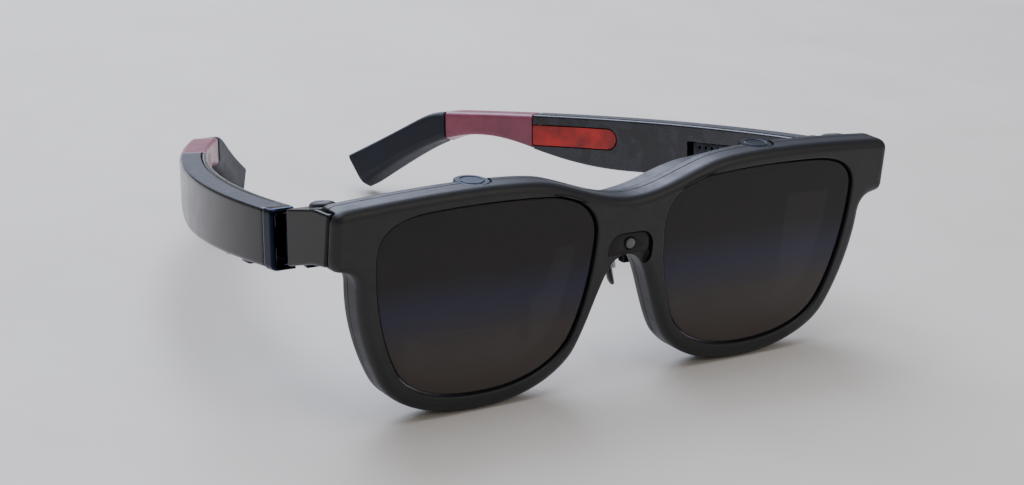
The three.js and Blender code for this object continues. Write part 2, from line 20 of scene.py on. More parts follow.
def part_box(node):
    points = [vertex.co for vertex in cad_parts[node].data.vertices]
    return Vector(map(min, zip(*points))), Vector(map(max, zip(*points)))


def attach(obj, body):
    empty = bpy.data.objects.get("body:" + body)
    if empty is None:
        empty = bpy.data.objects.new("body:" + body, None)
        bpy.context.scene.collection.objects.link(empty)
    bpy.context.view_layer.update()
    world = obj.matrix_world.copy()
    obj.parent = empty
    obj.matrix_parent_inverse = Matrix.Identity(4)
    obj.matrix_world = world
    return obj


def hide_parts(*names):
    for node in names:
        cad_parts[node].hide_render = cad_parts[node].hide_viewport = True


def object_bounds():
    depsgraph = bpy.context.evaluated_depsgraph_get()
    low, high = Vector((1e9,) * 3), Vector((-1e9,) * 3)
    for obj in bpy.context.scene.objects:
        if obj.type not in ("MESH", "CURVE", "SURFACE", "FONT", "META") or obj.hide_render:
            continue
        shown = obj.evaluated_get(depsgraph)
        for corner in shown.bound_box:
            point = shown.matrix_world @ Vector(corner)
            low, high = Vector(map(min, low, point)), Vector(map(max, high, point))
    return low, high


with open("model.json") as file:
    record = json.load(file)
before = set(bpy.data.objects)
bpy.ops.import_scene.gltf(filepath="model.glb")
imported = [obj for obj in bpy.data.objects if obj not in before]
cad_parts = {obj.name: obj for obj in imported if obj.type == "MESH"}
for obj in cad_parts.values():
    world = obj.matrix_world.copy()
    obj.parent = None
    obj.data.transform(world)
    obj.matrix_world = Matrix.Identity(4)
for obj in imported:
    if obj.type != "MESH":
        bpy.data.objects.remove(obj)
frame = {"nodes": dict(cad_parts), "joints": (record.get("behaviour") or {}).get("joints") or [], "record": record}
CAD_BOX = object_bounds()

LOG = logging.getLogger("glasses")
MM = 0.001
GAP = 0.3                            # clearance between neighbouring pieces
SUPPORT = 0.12                       # a ring this close to a fillet keeps the flat beside it flat
SHARP = math.radians(34)             # an edge that bends more than this is drawn as a crease
CRISP = (0.05, 0.05)                 # the least rounding, for edges that only cut or hide
Point = tuple[float, float]
Place = Callable[[float, float, float], Vector]
FRONT_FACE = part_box("front_cover")[0].y / MM
CONTROLS = ("mode_button", "volume_rocker")


class Side(Enum):
    """The wearer's left (+X) and right (-X)."""

    LEFT = 1
    RIGHT = -1

    @property
    def label(self) -> str:
        """The side as it ends a node's name."""
        return self.name.lower()


def depths(node: str) -> Point:
    """Where a node starts and ends behind the front face, in millimetres."""
    low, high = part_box(node)
    return low.y / MM - FRONT_FACE, high.y / MM - FRONT_FACE


def at(x: float, z: float, depth: float) -> Vector:
    """A point of the front, from its outline place and its depth."""
    return Vector((x, FRONT_FACE + depth, z)) * MM


# ---------------------------------------------------------------- outlines
# Half of the front, from the top of the bridge to its underside, as cubic curves in (x, z).
BRIDGE_TOP = (0.0, 42.8)
HALF_FRONT = [
    (8, 42.9, 14, 46.2, 22, 48.2),
    (30, 50.0, 50, 49.8, 72.3, 48.3),
    (74.2, 48.1, 75.3, 47.2, 75.3, 45.3),
    (75.3, 43, 75.2, 40.5, 75.2, 38.2),
    (75.1, 36.3, 74.4, 35.6, 72.6, 35.3),
    (70.4, 34.9, 68.9, 34.0, 68.6, 31.2),
    (68.2, 24.0, 65.6, 16.0, 61.4, 9.2),
    (57.4, 3.0, 47, 0, 36.4, 0),
    (25.4, 0, 17.4, 3.2, 13.0, 8.4),
    (10.2, 12.4, 8.2, 19.0, 6.2, 23.6),
    (5.0, 26.6, 3.2, 29.4, 0, 29.5),
]
PANE_START = (21.0, 45.4)
PANE = [
    (30, 46.2, 42, 46.4, 52, 45.9),
    (60.5, 45.5, 65.2, 43.2, 65.0, 37.0),
    (64.8, 28, 62.2, 17.5, 58.0, 11.2),
    (54.6, 6.2, 46.5, 3.8, 36.5, 3.8),
    (26.0, 3.8, 18.6, 6.6, 14.6, 12.0),
    (11.4, 17.2, 9.2, 27.5, 9.2, 35.5),
    (9.4, 40.5, 13.0, 44.2, 21, 45.4),
]


def bezier_chain(start: Point, curves: Sequence[Sequence[float]], steps: int = 24) -> list[Point]:
    """Samples cubic curves that follow on from each other.

    Args:
        start: The first point.
        curves: Two handles and an end point for each curve.
        steps: Points made for each curve.

    Returns:
        The points, the start among them.
    """
    points = [start]
    for ax, ay, bx, by, x, y in curves:
        px, py = points[-1]
        for step in range(1, steps + 1):
            t = step / steps
            k = ((1 - t) ** 3, 3 * t * (1 - t) ** 2, 3 * t * t * (1 - t), t**3)
            points.append((
                k[0] * px + k[1] * ax + k[2] * bx + k[3] * x,
                k[0] * py + k[1] * ay + k[2] * by + k[3] * y,
            ))
    return points


def front_outline() -> list[Point]:
    """The whole outline of the front."""
    half = bezier_chain(BRIDGE_TOP, HALF_FRONT)
    return half + [(-x, z) for x, z in reversed(half[1:-1])]


def pane_outline(side: Side) -> list[Point]:
    """The outline of one lens pane."""
    return [(side.value * x, z) for x, z in bezier_chain(PANE_START, PANE)[:-1]]


def rounded(corners: Sequence[Sequence[float]], radius: float = 0.6, steps: int = 6) -> list[Point]:
    """Rounds the corners of a polygon.

    Args:
        corners: Points as (x, y), or as (x, y, radius) where a corner has its own.
        radius: Radius of the other corners.
        steps: Points along each rounding.

    Returns:
        The rounded outline.
    """
    points = []
    for i, corner in enumerate(corners):
        here = Vector(corner[:2])
        before = Vector(corners[i - 1][:2]) - here
        after = Vector(corners[(i + 1) % len(corners)][:2]) - here
        reach = min(corner[2] if len(corner) > 2 else radius, 0.48 * before.length, 0.48 * after.length)
        first, last = here + before.normalized() * reach, here + after.normalized() * reach
        for step in range(steps + 1):
            t = step / steps
            points.append(tuple(first * (1 - t) ** 2 + here * 2 * t * (1 - t) + last * t * t))
    return points


def bar(half_width: float, half_height: float, radius: float, centre: Point = (0, 0)) -> list[Point]:
    """A rectangle with round corners."""
    quarters = [(1, 1, 0), (-1, 1, 90), (-1, -1, 180), (1, -1, 270)]
    points = []
    for across, up, start in quarters:
        for step in range(9):
            angle = math.radians(start + step * 90 / 8)
            points.append((
                centre[0] + across * (half_width - radius) + radius * math.cos(angle),
                centre[1] + up * (half_height - radius) + radius * math.sin(angle),
            ))
    return points


def evenly(points: Sequence[Point], spacing: float) -> list[Vector]:
    """Spaces the points of a closed outline evenly."""
    loop = [Vector(point) for point in points]
    loop.append(loop[0])
    marks = [0.0]
    for a, b in zip(loop, loop[1:]):
        marks.append(marks[-1] + (b - a).length)
    count = max(12, round(marks[-1] / spacing))
    result = []
    j = 0
    for i in range(count):
        mark = marks[-1] * i / count
        while marks[j + 1] < mark:
            j += 1
        share = (mark - marks[j]) / max(marks[j + 1] - marks[j], 1e-9)
        result.append(loop[j].lerp(loop[j + 1], share))
    return result


def turned(loop: list[Vector], anticlockwise: bool) -> list[Vector]:
    """The loop, running the way that is asked for."""
    area = sum(a.x * b.y - b.x * a.y for a, b in zip(loop, loop[1:] + loop[:1]))
    return loop if (area > 0) == anticlockwise else loop[::-1]


def inward(loop: list[Vector]) -> list[Vector]:
    """Unit normals of a loop, towards the material on its left."""
    runs = [(loop[(i + 1) % len(loop)] - loop[i - 1]).normalized() for i in range(len(loop))]
    return [Vector((-run.y, run.x)) for run in runs]


def shrunk(points: Sequence[Point], distance: float, spacing: float = 0.5) -> list[Point]:
    """A closed outline with every point moved inwards."""
    loop = turned(evenly(points, spacing), True)
    return [tuple(p + n * distance) for p, n in zip(loop, inward(loop))]


def fillet_room(loop: list[Vector], reach: int = 3) -> list[float]:
    """How far each point of a loop can move inwards before the loop folds over itself.

    Args:
        loop: Points with the material on their left.
        reach: How many points away the bend is measured.

    Returns:
        0.8 of the radius at each convex bend, evened out along the loop.
    """
    count = len(loop)
    widest = 6.0
    raw = []
    for i in range(count):
        a, b, c = loop[i - reach], loop[i], loop[(i + reach) % count]
        cross = (b - a).x * (c - b).y - (b - a).y * (c - b).x
        sides = (b - a).length * (c - b).length * (c - a).length
        raw.append(min(widest, 0.8 * sides / (2 * cross)) if cross > 1e-6 else widest)
    span = range(-2 * reach, 2 * reach + 1)
    lowest = [min(raw[(i + k) % count] for k in span) for i in range(count)]
    return [sum(lowest[(i + k) % count] for k in span) / len(span) for i in range(count)]


# ---------------------------------------------------------------- meshes
def bridge(mesh: bmesh.types.BMesh, one: list, other: list) -> None:
    """Joins two closed rings of vertices with a band of quads."""
    for i in range(len(one)):
        mesh.faces.new((one[i - 1], one[i], other[i], other[i - 1]))


def cap(mesh: bmesh.types.BMesh, rings: list, flat: list) -> None:
    """Closes an end with triangles between an outer ring and any holes.

    Args:
        mesh: The mesh that holds the rings.
        rings: Rings of vertices, the outer one first.
        flat: The same rings as points of a plane.
    """
    vertices = [v for ring in rings for v in ring]
    for triangle in tessellate_polygon([[Vector((p[0], p[1], 0)) for p in ring] for ring in flat]):
        mesh.faces.new([vertices[i] for i in triangle])


@dataclass
class Plate:
    """A block of one outline with rounded edges, pushed along its depth."""

    outline: Sequence[Point]
    near: float
    far: float
    place: Place = at
    near_edge: Point = (0.2, 0.2)        # how far the rounding reaches in, and how deep
    far_edge: Point = (0.2, 0.2)
    holes: Sequence[Sequence[Point]] = field(default_factory=list)
    hole_edge: Point = (0.2, 0.2)
    spacing: float = 0.5

    def profile(self, near_edge: Point, far_edge: Point, steps: int = 6) -> list[Point]:
        """The rounded edge from one face to the other, as (distance in, depth)."""
        quarter = [math.pi / 2 * k / steps for k in range(steps + 1)]
        rings = [(near_edge[0] + SUPPORT, self.near)]
        rings += [
            (near_edge[0] * (1 - math.sin(a)), self.near + near_edge[1] * (1 - math.cos(a)))
            for a in quarter
        ]
        if self.far - self.near > near_edge[1] + far_edge[1] + 3 * SUPPORT:
            rings.append((0, self.near + near_edge[1] + SUPPORT))
            rings.append((0, self.far - far_edge[1] - SUPPORT))
        rings += [
            (far_edge[0] * (1 - math.sin(a)), self.far - far_edge[1] * (1 - math.cos(a)))
            for a in reversed(quarter)
        ]
        rings.append((far_edge[0] + SUPPORT, self.far))
        return rings

    def build(self) -> bmesh.types.BMesh:
        """The closed mesh of the plate."""
        mesh = bmesh.new()
        ends = ([], [])
        for number, points in enumerate([self.outline, *self.holes]):
            near_edge, far_edge = [self.hole_edge] * 2 if number else [self.near_edge, self.far_edge]
            loop = turned(evenly(points, self.spacing), number == 0)
            normals = inward(loop)
            deepest = max(near_edge[0], far_edge[0]) + SUPPORT
            share = [min(1.0, room / deepest) for room in fillet_room(loop)]
            rings, flats = [], []
            for amount, depth in self.profile(near_edge, far_edge):
                flat = [p + n * amount * s for p, n, s in zip(loop, normals, share)]
                flats.append(flat)
                rings.append([mesh.verts.new(self.place(p.x, p.y, depth)) for p in flat])
            for one, other in zip(rings, rings[1:]):
                bridge(mesh, one, other)
            for end, pick in zip(ends, (0, -1)):
                end.append((rings[pick], flats[pick]))
        for end in ends:
            cap(mesh, [ring for ring, _ in end], [flat for _, flat in end])
        return mesh


def loft(sections: list[list[Vector]], flats: list[list[Point]]) -> bmesh.types.BMesh:
    """A closed skin through sections with equal numbers of points.

    Args:
        sections: Placed sections, in order.
        flats: The first and last section as points of a plane, for the two ends.

    Returns:
        The mesh.
    """
    mesh = bmesh.new()
    rings = [[mesh.verts.new(point) for point in section] for section in sections]
    for one, other in zip(rings, rings[1:]):
        bridge(mesh, one, other)
    cap(mesh, [rings[0]], [flats[0]])
    cap(mesh, [rings[-1]], [flats[-1]])
    return mesh


def softened(node: str, width: float) -> bmesh.types.BMesh:
    """A copy of a CAD node with its hard edges rounded.

    Args:
        node: The CAD node.
        width: Width of the rounding, in millimetres.

    Returns:
        The mesh.
    """
    mesh = bmesh.new()
    mesh.from_mesh(frame["nodes"][node].data)
    bmesh.ops.remove_doubles(mesh, verts=mesh.verts, dist=1e-6)
    bmesh.ops.dissolve_limit(mesh, angle_limit=math.radians(2), verts=mesh.verts, edges=mesh.edges)
    hard = [e for e in mesh.edges if len(e.link_faces) == 2 and e.calc_face_angle(0) > SHARP]
    bmesh.ops.bevel(mesh, geom=hard, offset=width * MM, segments=2, profile=0.5,
                    affect="EDGES", clamp_overlap=True)
    return mesh


def shown_data(piece: bpy.types.Object) -> bpy.types.Mesh:
    """The mesh that an object has with its modifiers applied."""
    graph = bpy.context.evaluated_depsgraph_get()
    return bpy.data.meshes.new_from_object(piece.evaluated_get(graph))


def helper_object(name: str, mesh: bmesh.types.BMesh) -> bpy.types.Object:
    """An object that only lives while others are cut or built."""
    bmesh.ops.recalc_face_normals(mesh, faces=mesh.faces)
    data = bpy.data.meshes.new(name)
    mesh.to_mesh(data)
    mesh.free()
    made = bpy.data.objects.new(name, data)
    bpy.context.scene.collection.objects.link(made)
    return made


def carved(mesh: bmesh.types.BMesh, tools: list[bmesh.types.BMesh], how: str = "DIFFERENCE",
           solver: str = "EXACT") -> bmesh.types.BMesh:
    """Cuts a closed mesh with others, or keeps what they share.

    Args:
        mesh: The mesh to cut.
        tools: The meshes that cut it.
        how: The boolean operation.
        solver: The boolean solver; FAST keeps a large flat face as triangles.

    Returns:
        The mesh that is left.
    """
    body = helper_object("body", mesh)
    cutters = [helper_object("tool", tool) for tool in tools]
    for cutter in cutters:
        step = body.modifiers.new("cut", "BOOLEAN")
        step.operation = how
        step.solver = solver
        step.object = cutter
    bpy.context.view_layer.update()
    result = bmesh.new()
    result.from_mesh(shown_data(body))
    for made in [body, *cutters]:
        bpy.data.objects.remove(made)
    return result


# ---------------------------------------------------------------- finishes
def srgb(code: str) -> tuple[float, float, float, float]:
    """Turns a hex sRGB colour into linear RGBA."""
    parts = [int(code[i:i + 2], 16) / 255 for i in (0, 2, 4)]
    linear = [c / 12.92 if c <= 0.04045 else ((c + 0.055) / 1.055) ** 2.4 for c in parts]
    return (*linear, 1.0)


def add_node(tree: bpy.types.NodeTree, kind: str, settings: dict | None = None,
             inputs: dict | None = None) -> bpy.types.Node:
    """Adds a node with its settings and links.

    Args:
        tree: The tree that gets the node.
        kind: The node's type name.
        settings: Attributes of the node.
        inputs: For each input name or number, a socket to link from or a plain value.

    Returns:
        The node.
    """
    node = tree.nodes.new(kind)
    for name, value in (settings or {}).items():
        setattr(node, name, value)
    for key, value in (inputs or {}).items():
        if isinstance(value, bpy.types.NodeSocket):
            tree.links.new(value, node.inputs[key])
        else:
            node.inputs[key].default_value = value
    return node


@dataclass(frozen=True)
class Finish:
    """One real material, and how its surface was made."""

    name: str
    slot: str
    colour: str
    shade: str                           # the colour in its darker patches
    roughness: float
    patch_mm: float = 9.0
    spread: float = 0.06                 # how much the roughness wanders
    grain_mm: float = 0.45
    grain_depth_mm: float = 0.006
    metallic: float = 0.0
    specular: float = 0.5
    ior: float = 1.5
    coat: float = 0.0
    sheen: float = 0.0
    sheen_tint: str = "ffffff"
    transmission: float = 0.0
    alpha: float = 1.0
    stretch: tuple[float, float, float] = (1.0, 1.0, 1.0)

    def noise(self, tree: bpy.types.NodeTree, place: bpy.types.NodeSocket, size_mm: float,
              detail: float) -> bpy.types.NodeSocket:
        """A noise value whose features are about size_mm wide."""
        return add_node(tree, "ShaderNodeTexNoise", inputs={
            "Vector": place, "Scale": 1 / (size_mm * MM), "Detail": detail, "Roughness": 0.6,
        }).outputs["Fac"]

    def pattern(self, tree: bpy.types.NodeTree, place: bpy.types.NodeSocket) -> bpy.types.NodeSocket:
        """Where the surface takes its darker shade, from 0 to 1."""
        patches = self.noise(tree, place, self.patch_mm, 3.0)
        return add_node(tree, "ShaderNodeMapRange", inputs={
            "Value": patches, "From Min": 0.35, "From Max": 0.65,
        }).outputs["Result"]

    def base_colour(self, tree: bpy.types.NodeTree, place: bpy.types.NodeSocket) -> bpy.types.NodeSocket:
        """The colour over the surface."""
        return add_node(tree, "ShaderNodeMix", {"data_type": "RGBA"}, {
            0: self.pattern(tree, place), 6: srgb(self.colour), 7: srgb(self.shade),
        }).outputs[2]

    def material(self) -> bpy.types.Material:
        """The finish as a Blender material, made once."""
        if self.name in bpy.data.materials:
            return bpy.data.materials[self.name]
        made = bpy.data.materials.new(self.name)
        made.use_nodes = True
        tree = made.node_tree
        tree.nodes.clear()
        coords = add_node(tree, "ShaderNodeTexCoord").outputs["Object"]
        place = add_node(tree, "ShaderNodeMapping", inputs={
            "Vector": coords, "Scale": self.stretch,
        }).outputs["Vector"]
        wander = add_node(tree, "ShaderNodeMapRange", inputs={
            "Value": self.noise(tree, place, self.patch_mm / 3, 4.0), "From Min": 0.3, "From Max": 0.7,
            "To Min": max(0.02, self.roughness - self.spread), "To Max": self.roughness + self.spread,
        }).outputs["Result"]
        bump = add_node(tree, "ShaderNodeBump", inputs={
            "Height": self.noise(tree, place, self.grain_mm, 2.0), "Distance": self.grain_depth_mm * MM,
            "Strength": 1.0,
        }).outputs["Normal"]
        shader = add_node(tree, "ShaderNodeBsdfPrincipled", inputs={
            "Base Color": self.base_colour(tree, coords), "Roughness": wander, "Normal": bump,
            "Metallic": self.metallic, "Specular IOR Level": self.specular, "IOR": self.ior,
            "Coat Weight": self.coat, "Coat Roughness": 0.06, "Sheen Weight": self.sheen,
            "Sheen Roughness": 0.4, "Sheen Tint": srgb(self.sheen_tint),
            "Transmission Weight": self.transmission, "Alpha": self.alpha,
        })
        add_node(tree, "ShaderNodeOutputMaterial", inputs={"Surface": shader.outputs["BSDF"]})
        return made


@dataclass(frozen=True)
class GradedGlass(Finish):
    """Glass whose colour runs by height from its colour at the bottom, through bands, to its shade at the top."""

    top_mm: float = 46.3
    bottom_mm: float = 3.8
    bands: tuple[tuple[float, str], ...] = ()

    def base_colour(self, tree: bpy.types.NodeTree, place: bpy.types.NodeSocket) -> bpy.types.NodeSocket:
        """The tint by height."""
        height = add_node(tree, "ShaderNodeSeparateXYZ", inputs={0: place}).outputs["Z"]
        share = add_node(tree, "ShaderNodeMapRange", inputs={
            "Value": height, "From Min": self.bottom_mm * MM, "From Max": self.top_mm * MM,
        }).outputs["Result"]
        ramp = add_node(tree, "ShaderNodeValToRGB", inputs={"Fac": share})
        bands = [(0.0, self.colour), *self.bands, (1.0, self.shade)]
        stops = ramp.color_ramp.elements
        while len(stops) < len(bands):
            stops.new(0.5)
        for stop, (position, colour) in zip(stops, bands):
            stop.position = position
            stop.color = srgb(colour)
        return ramp.outputs["Color"]


@dataclass(frozen=True)
class SmokedWindow(Finish):
    """Smoked clear plastic with the square cans and parts of a circuit board faint behind it."""

    cell_mm: float = 3.4

    def pattern(self, tree: bpy.types.NodeTree, place: bpy.types.NodeSocket) -> bpy.types.NodeSocket:
        """Square cells, a third of them dark."""
        cells = add_node(tree, "ShaderNodeTexVoronoi", {"distance": "CHEBYCHEV"}, {
            "Vector": place, "Scale": 1 / (self.cell_mm * MM), "Randomness": 0.75,
        }).outputs["Color"]
        level = add_node(tree, "ShaderNodeSeparateColor", inputs={0: cells}).outputs[0]
        return add_node(tree, "ShaderNodeMapRange", inputs={
            "Value": level, "From Min": 0.45, "From Max": 0.6,
        }).outputs["Result"]


# Spark-eroded moulded polycarbonate under a soft-touch lacquer: dull charcoal, bluish along lit edges.
SOFT_BLACK = Finish("soft_touch_polycarbonate", "soft_black", "0f1013", "0b0c0f", 0.44,
                    grain_mm=0.3, grain_depth_mm=0.006, sheen=0.08, sheen_tint="8a8fc8")
# The same moulding without lacquer, where it is hidden behind the lens: nearly black, no shine.
INNER_BLACK = Finish("moulded_black_nylon", "soft_black", "0e0f11", "08080a", 0.62)
# Injection-moulded ABS, polished: brown-black with a soft reflection of the room.
GLOSS_BLACK = Finish("polished_black_abs", "gloss_black", "120d0a", "0c0908", 0.2, patch_mm=14,
                     spread=0.05, grain_mm=2.5, grain_depth_mm=0.001, specular=0.25)
# Top edge of the temples: the shell's black plastic, painted dark blue-grey as a painted reflection of the sky
# above, with a pale satin shine.
PAINTED_SKY_TOP = Finish("satin_blue_grey_lacquer", "gloss_black", "2a3346", "222a3a", 0.33,
                     grain_mm=0.25, coat=0.2)
# Smoke-tinted polycarbonate lens: brown-black above, then a violet-blue band that is a painted reflection of its
# coating, then grey-brown.
LENS = GradedGlass("smoke_tinted_lens", "tinted_glass", "443d38", "0e0a09", 0.05, spread=0.02,
                   grain_mm=6, grain_depth_mm=0.0002, specular=0.3, alpha=0.93,
                   # The violet-blue band at 0.48 is a painted reflection of the lens coating.
                   bands=((0.3, "3b3533"), (0.48, "22243c"), (0.64, "140f10")))
# Screen-printed black ceramic ink round the back of the lens: flat, with no sheen.
PRINTED_BORDER = Finish("black_printed_border", "tinted_glass", "0c0c0e", "08080a", 0.5)
# Half-silvered acrylic: mostly clear, with a cool mirror shine.
HALF_MIRROR = Finish("half_silvered_acrylic", "half_mirror", "9aa3ad", "838c98", 0.05, spread=0.02,
                     grain_mm=5, grain_depth_mm=0.0002, ior=1.75, alpha=0.35)
# Polished glass lens.
CLEAR_GLASS = Finish("polished_lens_glass", "clear_glass", "d8dcdf", "cdd3d8", 0.04, spread=0.01,
                     grain_depth_mm=0.0005, transmission=0.9)
# Glossy dark display cover.
DISPLAY = Finish("dark_display_glass", "display_black", "10141c", "0a0d14", 0.1)
# Solder-masked circuit board: green lacquer over copper.
BOARD = Finish("solder_masked_board", "board_green", "163c2a", "0f2c1e", 0.42, patch_mm=2.0)
# Bead-blasted anodised aluminium: dark blue-grey with a soft metal shine on each tooth.
DIAL_METAL = Finish("anodised_aluminium", "satin_dial", "3a4252", "2c3342", 0.32, metallic=0.85,
                    grain_mm=0.2)
# Physical-vapour-coated stainless steel, polished: deep navy with a bluish-white glint.
NAVY_METAL = Finish("navy_coated_steel", "blue_metal", "1a2133", "141b2a", 0.22, metallic=1.0,
                    grain_mm=0.6, grain_depth_mm=0.003)
# Fine brushed stainless steel.
STEEL = Finish("brushed_stainless_steel", "steel", "b4b7bc", "9a9da3", 0.28, metallic=1.0,
               stretch=(1.0, 1.0, 0.12), grain_mm=0.3)
# Moulded liquid silicone: matt black, faintly dusty.
SILICONE = Finish("moulded_silicone", "silicone", "141416", "1b1b1e", 0.58, sheen=0.15)
# Translucent red polycarbonate light guide: soft satin with darker patches.
RED_GUIDE = Finish("translucent_red_polycarbonate", "red_glow", "c8211a", "7d120e", 0.36, coat=0.2,
                   patch_mm=6.0)
# Translucent rose polycarbonate sleeve.
ROSE = Finish("translucent_rose_polycarbonate", "rose_clear", "94475c", "7c394d", 0.34, coat=0.25,
              patch_mm=8.0)
# Soft elastomer over-moulded on the temple end: matt navy-black.
NAVY_TIP = Finish("overmoulded_navy_elastomer", "navy_soft", "121929", "0e1420", 0.5, sheen=0.06,
                  sheen_tint="9aa6c8")
# Smoked cover with electronics faint behind it, clear coated.
SMOKED = SmokedWindow("smoked_clear_cover", "gloss_black", "20252f", "0d1119", 0.26, coat=0.3)
# Etched stainless mesh, blackened.
GRILLE = Finish("blackened_steel_mesh", "grille_dark", "3a3d43", "2c2f34", 0.38, metallic=0.8)
# Electroplated gold contacts.
GOLD = Finish("gold_plating", "gold", "d9a441", "c48f32", 0.22, metallic=1.0)
# Opal grey diffuser over the light sensor.
SENSOR = Finish("opal_grey_diffuser", "sensor_grey", "5c5c60", "4e4e52", 0.3, coat=0.3)


def add_piece(name: str, mesh: bmesh.types.BMesh, finishes: Sequence[Finish], body: str,
              stands_for: Sequence[str] = (), choose: Callable | None = None) -> None:
    """Turns a mesh into a finished piece that rides on a body.

    Args:
        name: The piece's name.
        mesh: Its mesh, which is used up.
        finishes: Its materials.
        body: The CAD body it moves with.
        stands_for: CAD nodes that it replaces.
        choose: Gives a face's material number, where there are several.
    """
    bmesh.ops.recalc_face_normals(mesh, faces=mesh.faces)
    for face in mesh.faces:
        face.smooth = True
        face.material_index = choose(face) if choose else 0
    for edge in mesh.edges:
        edge.smooth = edge.calc_face_angle(0) < SHARP
    piece = bpy.data.objects.new(name, bpy.data.meshes.new(name))
    mesh.to_mesh(piece.data)
    LOG.info("%s: %d faces on %s", name, len(mesh.faces), body)
    mesh.free()
    for finish in finishes:
        piece.data.materials.append(finish.material())
    bpy.context.scene.collection.objects.link(piece)
    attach(piece, body)
    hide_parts(*stands_for)


def add_softened(node: str, width: float, finish: Finish, body: str) -> None:
    """A CAD node with rounded edges and a finish, in the node's place."""
    add_piece(f"{node}_finished", softened(node, width), [finish], body, [node])


# ---------------------------------------------------------------- repeated details
@dataclass(frozen=True)
class RepeatTree:
    """A Geometry Nodes tree with named inputs, baked to a plain mesh."""

    name: str

    def start(self, inputs: dict[str, str]) -> tuple[bpy.types.NodeTree, bpy.types.Node]:
        """Makes the tree and its named inputs.

        Args:
            inputs: Socket type for each input name.

        Returns:
            The tree and its input node.
        """
        tree = bpy.data.node_groups.new(self.name, "GeometryNodeTree")
        for label, kind in inputs.items():
            tree.interface.new_socket(name=label, in_out="INPUT", socket_type=kind)
        tree.interface.new_socket(name="Geometry", in_out="OUTPUT", socket_type="NodeSocketGeometry")
        return tree, add_node(tree, "NodeGroupInput")

    def end(self, tree: bpy.types.NodeTree, parts: bpy.types.NodeSocket,
            material: bpy.types.NodeSocket) -> None:
        """Ends a tree in real geometry with its material."""
        real = add_node(tree, "GeometryNodeRealizeInstances", inputs={"Geometry": parts})
        dressed = add_node(tree, "GeometryNodeSetMaterial", inputs={
            "Geometry": real.outputs[0], "Material": material,
        })
        add_node(tree, "NodeGroupOutput", inputs={"Geometry": dressed.outputs[0]})

    def bake(self, tree: bpy.types.NodeTree, values: dict[str, object]) -> bmesh.types.BMesh:
        """The tree's result for some input values.

        Args:
            tree: The tree.
            values: A value for each named input.

        Returns:
            The mesh, in metres about its own origin.
        """
        carrier = bpy.data.objects.new(self.name, bpy.data.meshes.new(self.name))
        bpy.context.scene.collection.objects.link(carrier)
        nodes = carrier.modifiers.new(self.name, "NODES")
        nodes.node_group = tree
        for item in tree.interface.items_tree:
            if item.in_out == "INPUT" and item.name in values:
                nodes[item.identifier] = values[item.name]
        bpy.context.view_layer.update()
        result = bmesh.new()
        result.from_mesh(shown_data(carrier))
        carrier.modifiers.remove(nodes)
        bpy.data.objects.remove(carrier)
        return result


@dataclass(frozen=True)
class KnurledWheel(RepeatTree):
    """A wheel with a ring of upright teeth and a raised ring on its top."""

    tooth_depth: float = 0.6             # half of it stands out of the hub
    tooth_width: float = 0.42
    tooth_share: float = 0.88            # a tooth's height, of the wheel's
    bead_radius: float = 0.16            # section of the raised ring
    bead_share: float = 0.66             # radius of the raised ring, of the wheel's

    def make(self, radius: float, height: float, teeth: int, finish: Finish) -> bmesh.types.BMesh:
        """The wheel standing on z = 0.

        Args:
            radius: Over the teeth, in metres.
            height: In metres.
            teeth: Number of teeth.
            finish: Its material.

        Returns:
            The mesh.
        """
        tree, start = self.start({
            "Radius": "NodeSocketFloat", "Height": "NodeSocketFloat", "Teeth": "NodeSocketInt",
            "Material": "NodeSocketMaterial",
        })
        get = start.outputs

        def worked(how: str, name: str, value: float) -> bpy.types.NodeSocket:
            """A sum on one of the tree's inputs."""
            return add_node(tree, "ShaderNodeMath", {"operation": how}, {0: get[name], 1: value}).outputs[0]

        root = worked("SUBTRACT", "Radius", self.tooth_depth / 2 * MM)
        hub = add_node(tree, "GeometryNodeMeshCylinder", inputs={
            "Vertices": 64, "Radius": root, "Depth": get["Height"],
        })
        rim = add_node(tree, "GeometryNodeMeshCircle", inputs={"Vertices": get["Teeth"], "Radius": root})
        size = add_node(tree, "ShaderNodeCombineXYZ", inputs={
            0: self.tooth_depth * MM, 1: self.tooth_width * MM,
            2: worked("MULTIPLY", "Height", self.tooth_share),
        })
        tooth = add_node(tree, "GeometryNodeMeshCube", inputs={"Size": size.outputs[0]})
        where = add_node(tree, "GeometryNodeInputPosition").outputs[0]
        facing = add_node(tree, "FunctionNodeAlignEulerToVector", {"axis": "X"}, {"Vector": where})
        ring = add_node(tree, "GeometryNodeInstanceOnPoints", inputs={
            "Points": rim.outputs[0], "Instance": tooth.outputs[0], "Rotation": facing.outputs[0],
        })
        line = add_node(tree, "GeometryNodeCurvePrimitiveCircle", inputs={
            "Radius": worked("MULTIPLY", "Radius", self.bead_share), "Resolution": 48,
        })
        bead = add_node(tree, "GeometryNodeCurvePrimitiveCircle", inputs={
            "Radius": self.bead_radius * MM, "Resolution": 8,
        })
        raised = add_node(tree, "GeometryNodeCurveToMesh", inputs={0: line.outputs[0], 1: bead.outputs[0]})
        lift = add_node(tree, "ShaderNodeCombineXYZ", inputs={
            2: worked("MULTIPLY", "Height", 0.5),
        }).outputs[0]
        top = add_node(tree, "GeometryNodeTransform", inputs={
            "Geometry": raised.outputs[0], "Translation": lift,
        })
        joined = add_node(tree, "GeometryNodeJoinGeometry")
        for part in (hub.outputs["Mesh"], ring.outputs[0], top.outputs[0]):
            tree.links.new(part, joined.inputs[0])
        standing = add_node(tree, "GeometryNodeTransform", inputs={
            "Geometry": joined.outputs[0], "Translation": lift,
        })
        self.end(tree, standing.outputs[0], get["Material"])
        return self.bake(tree, {
            "Radius": radius, "Height": height, "Teeth": teeth, "Material": finish.material(),
        })


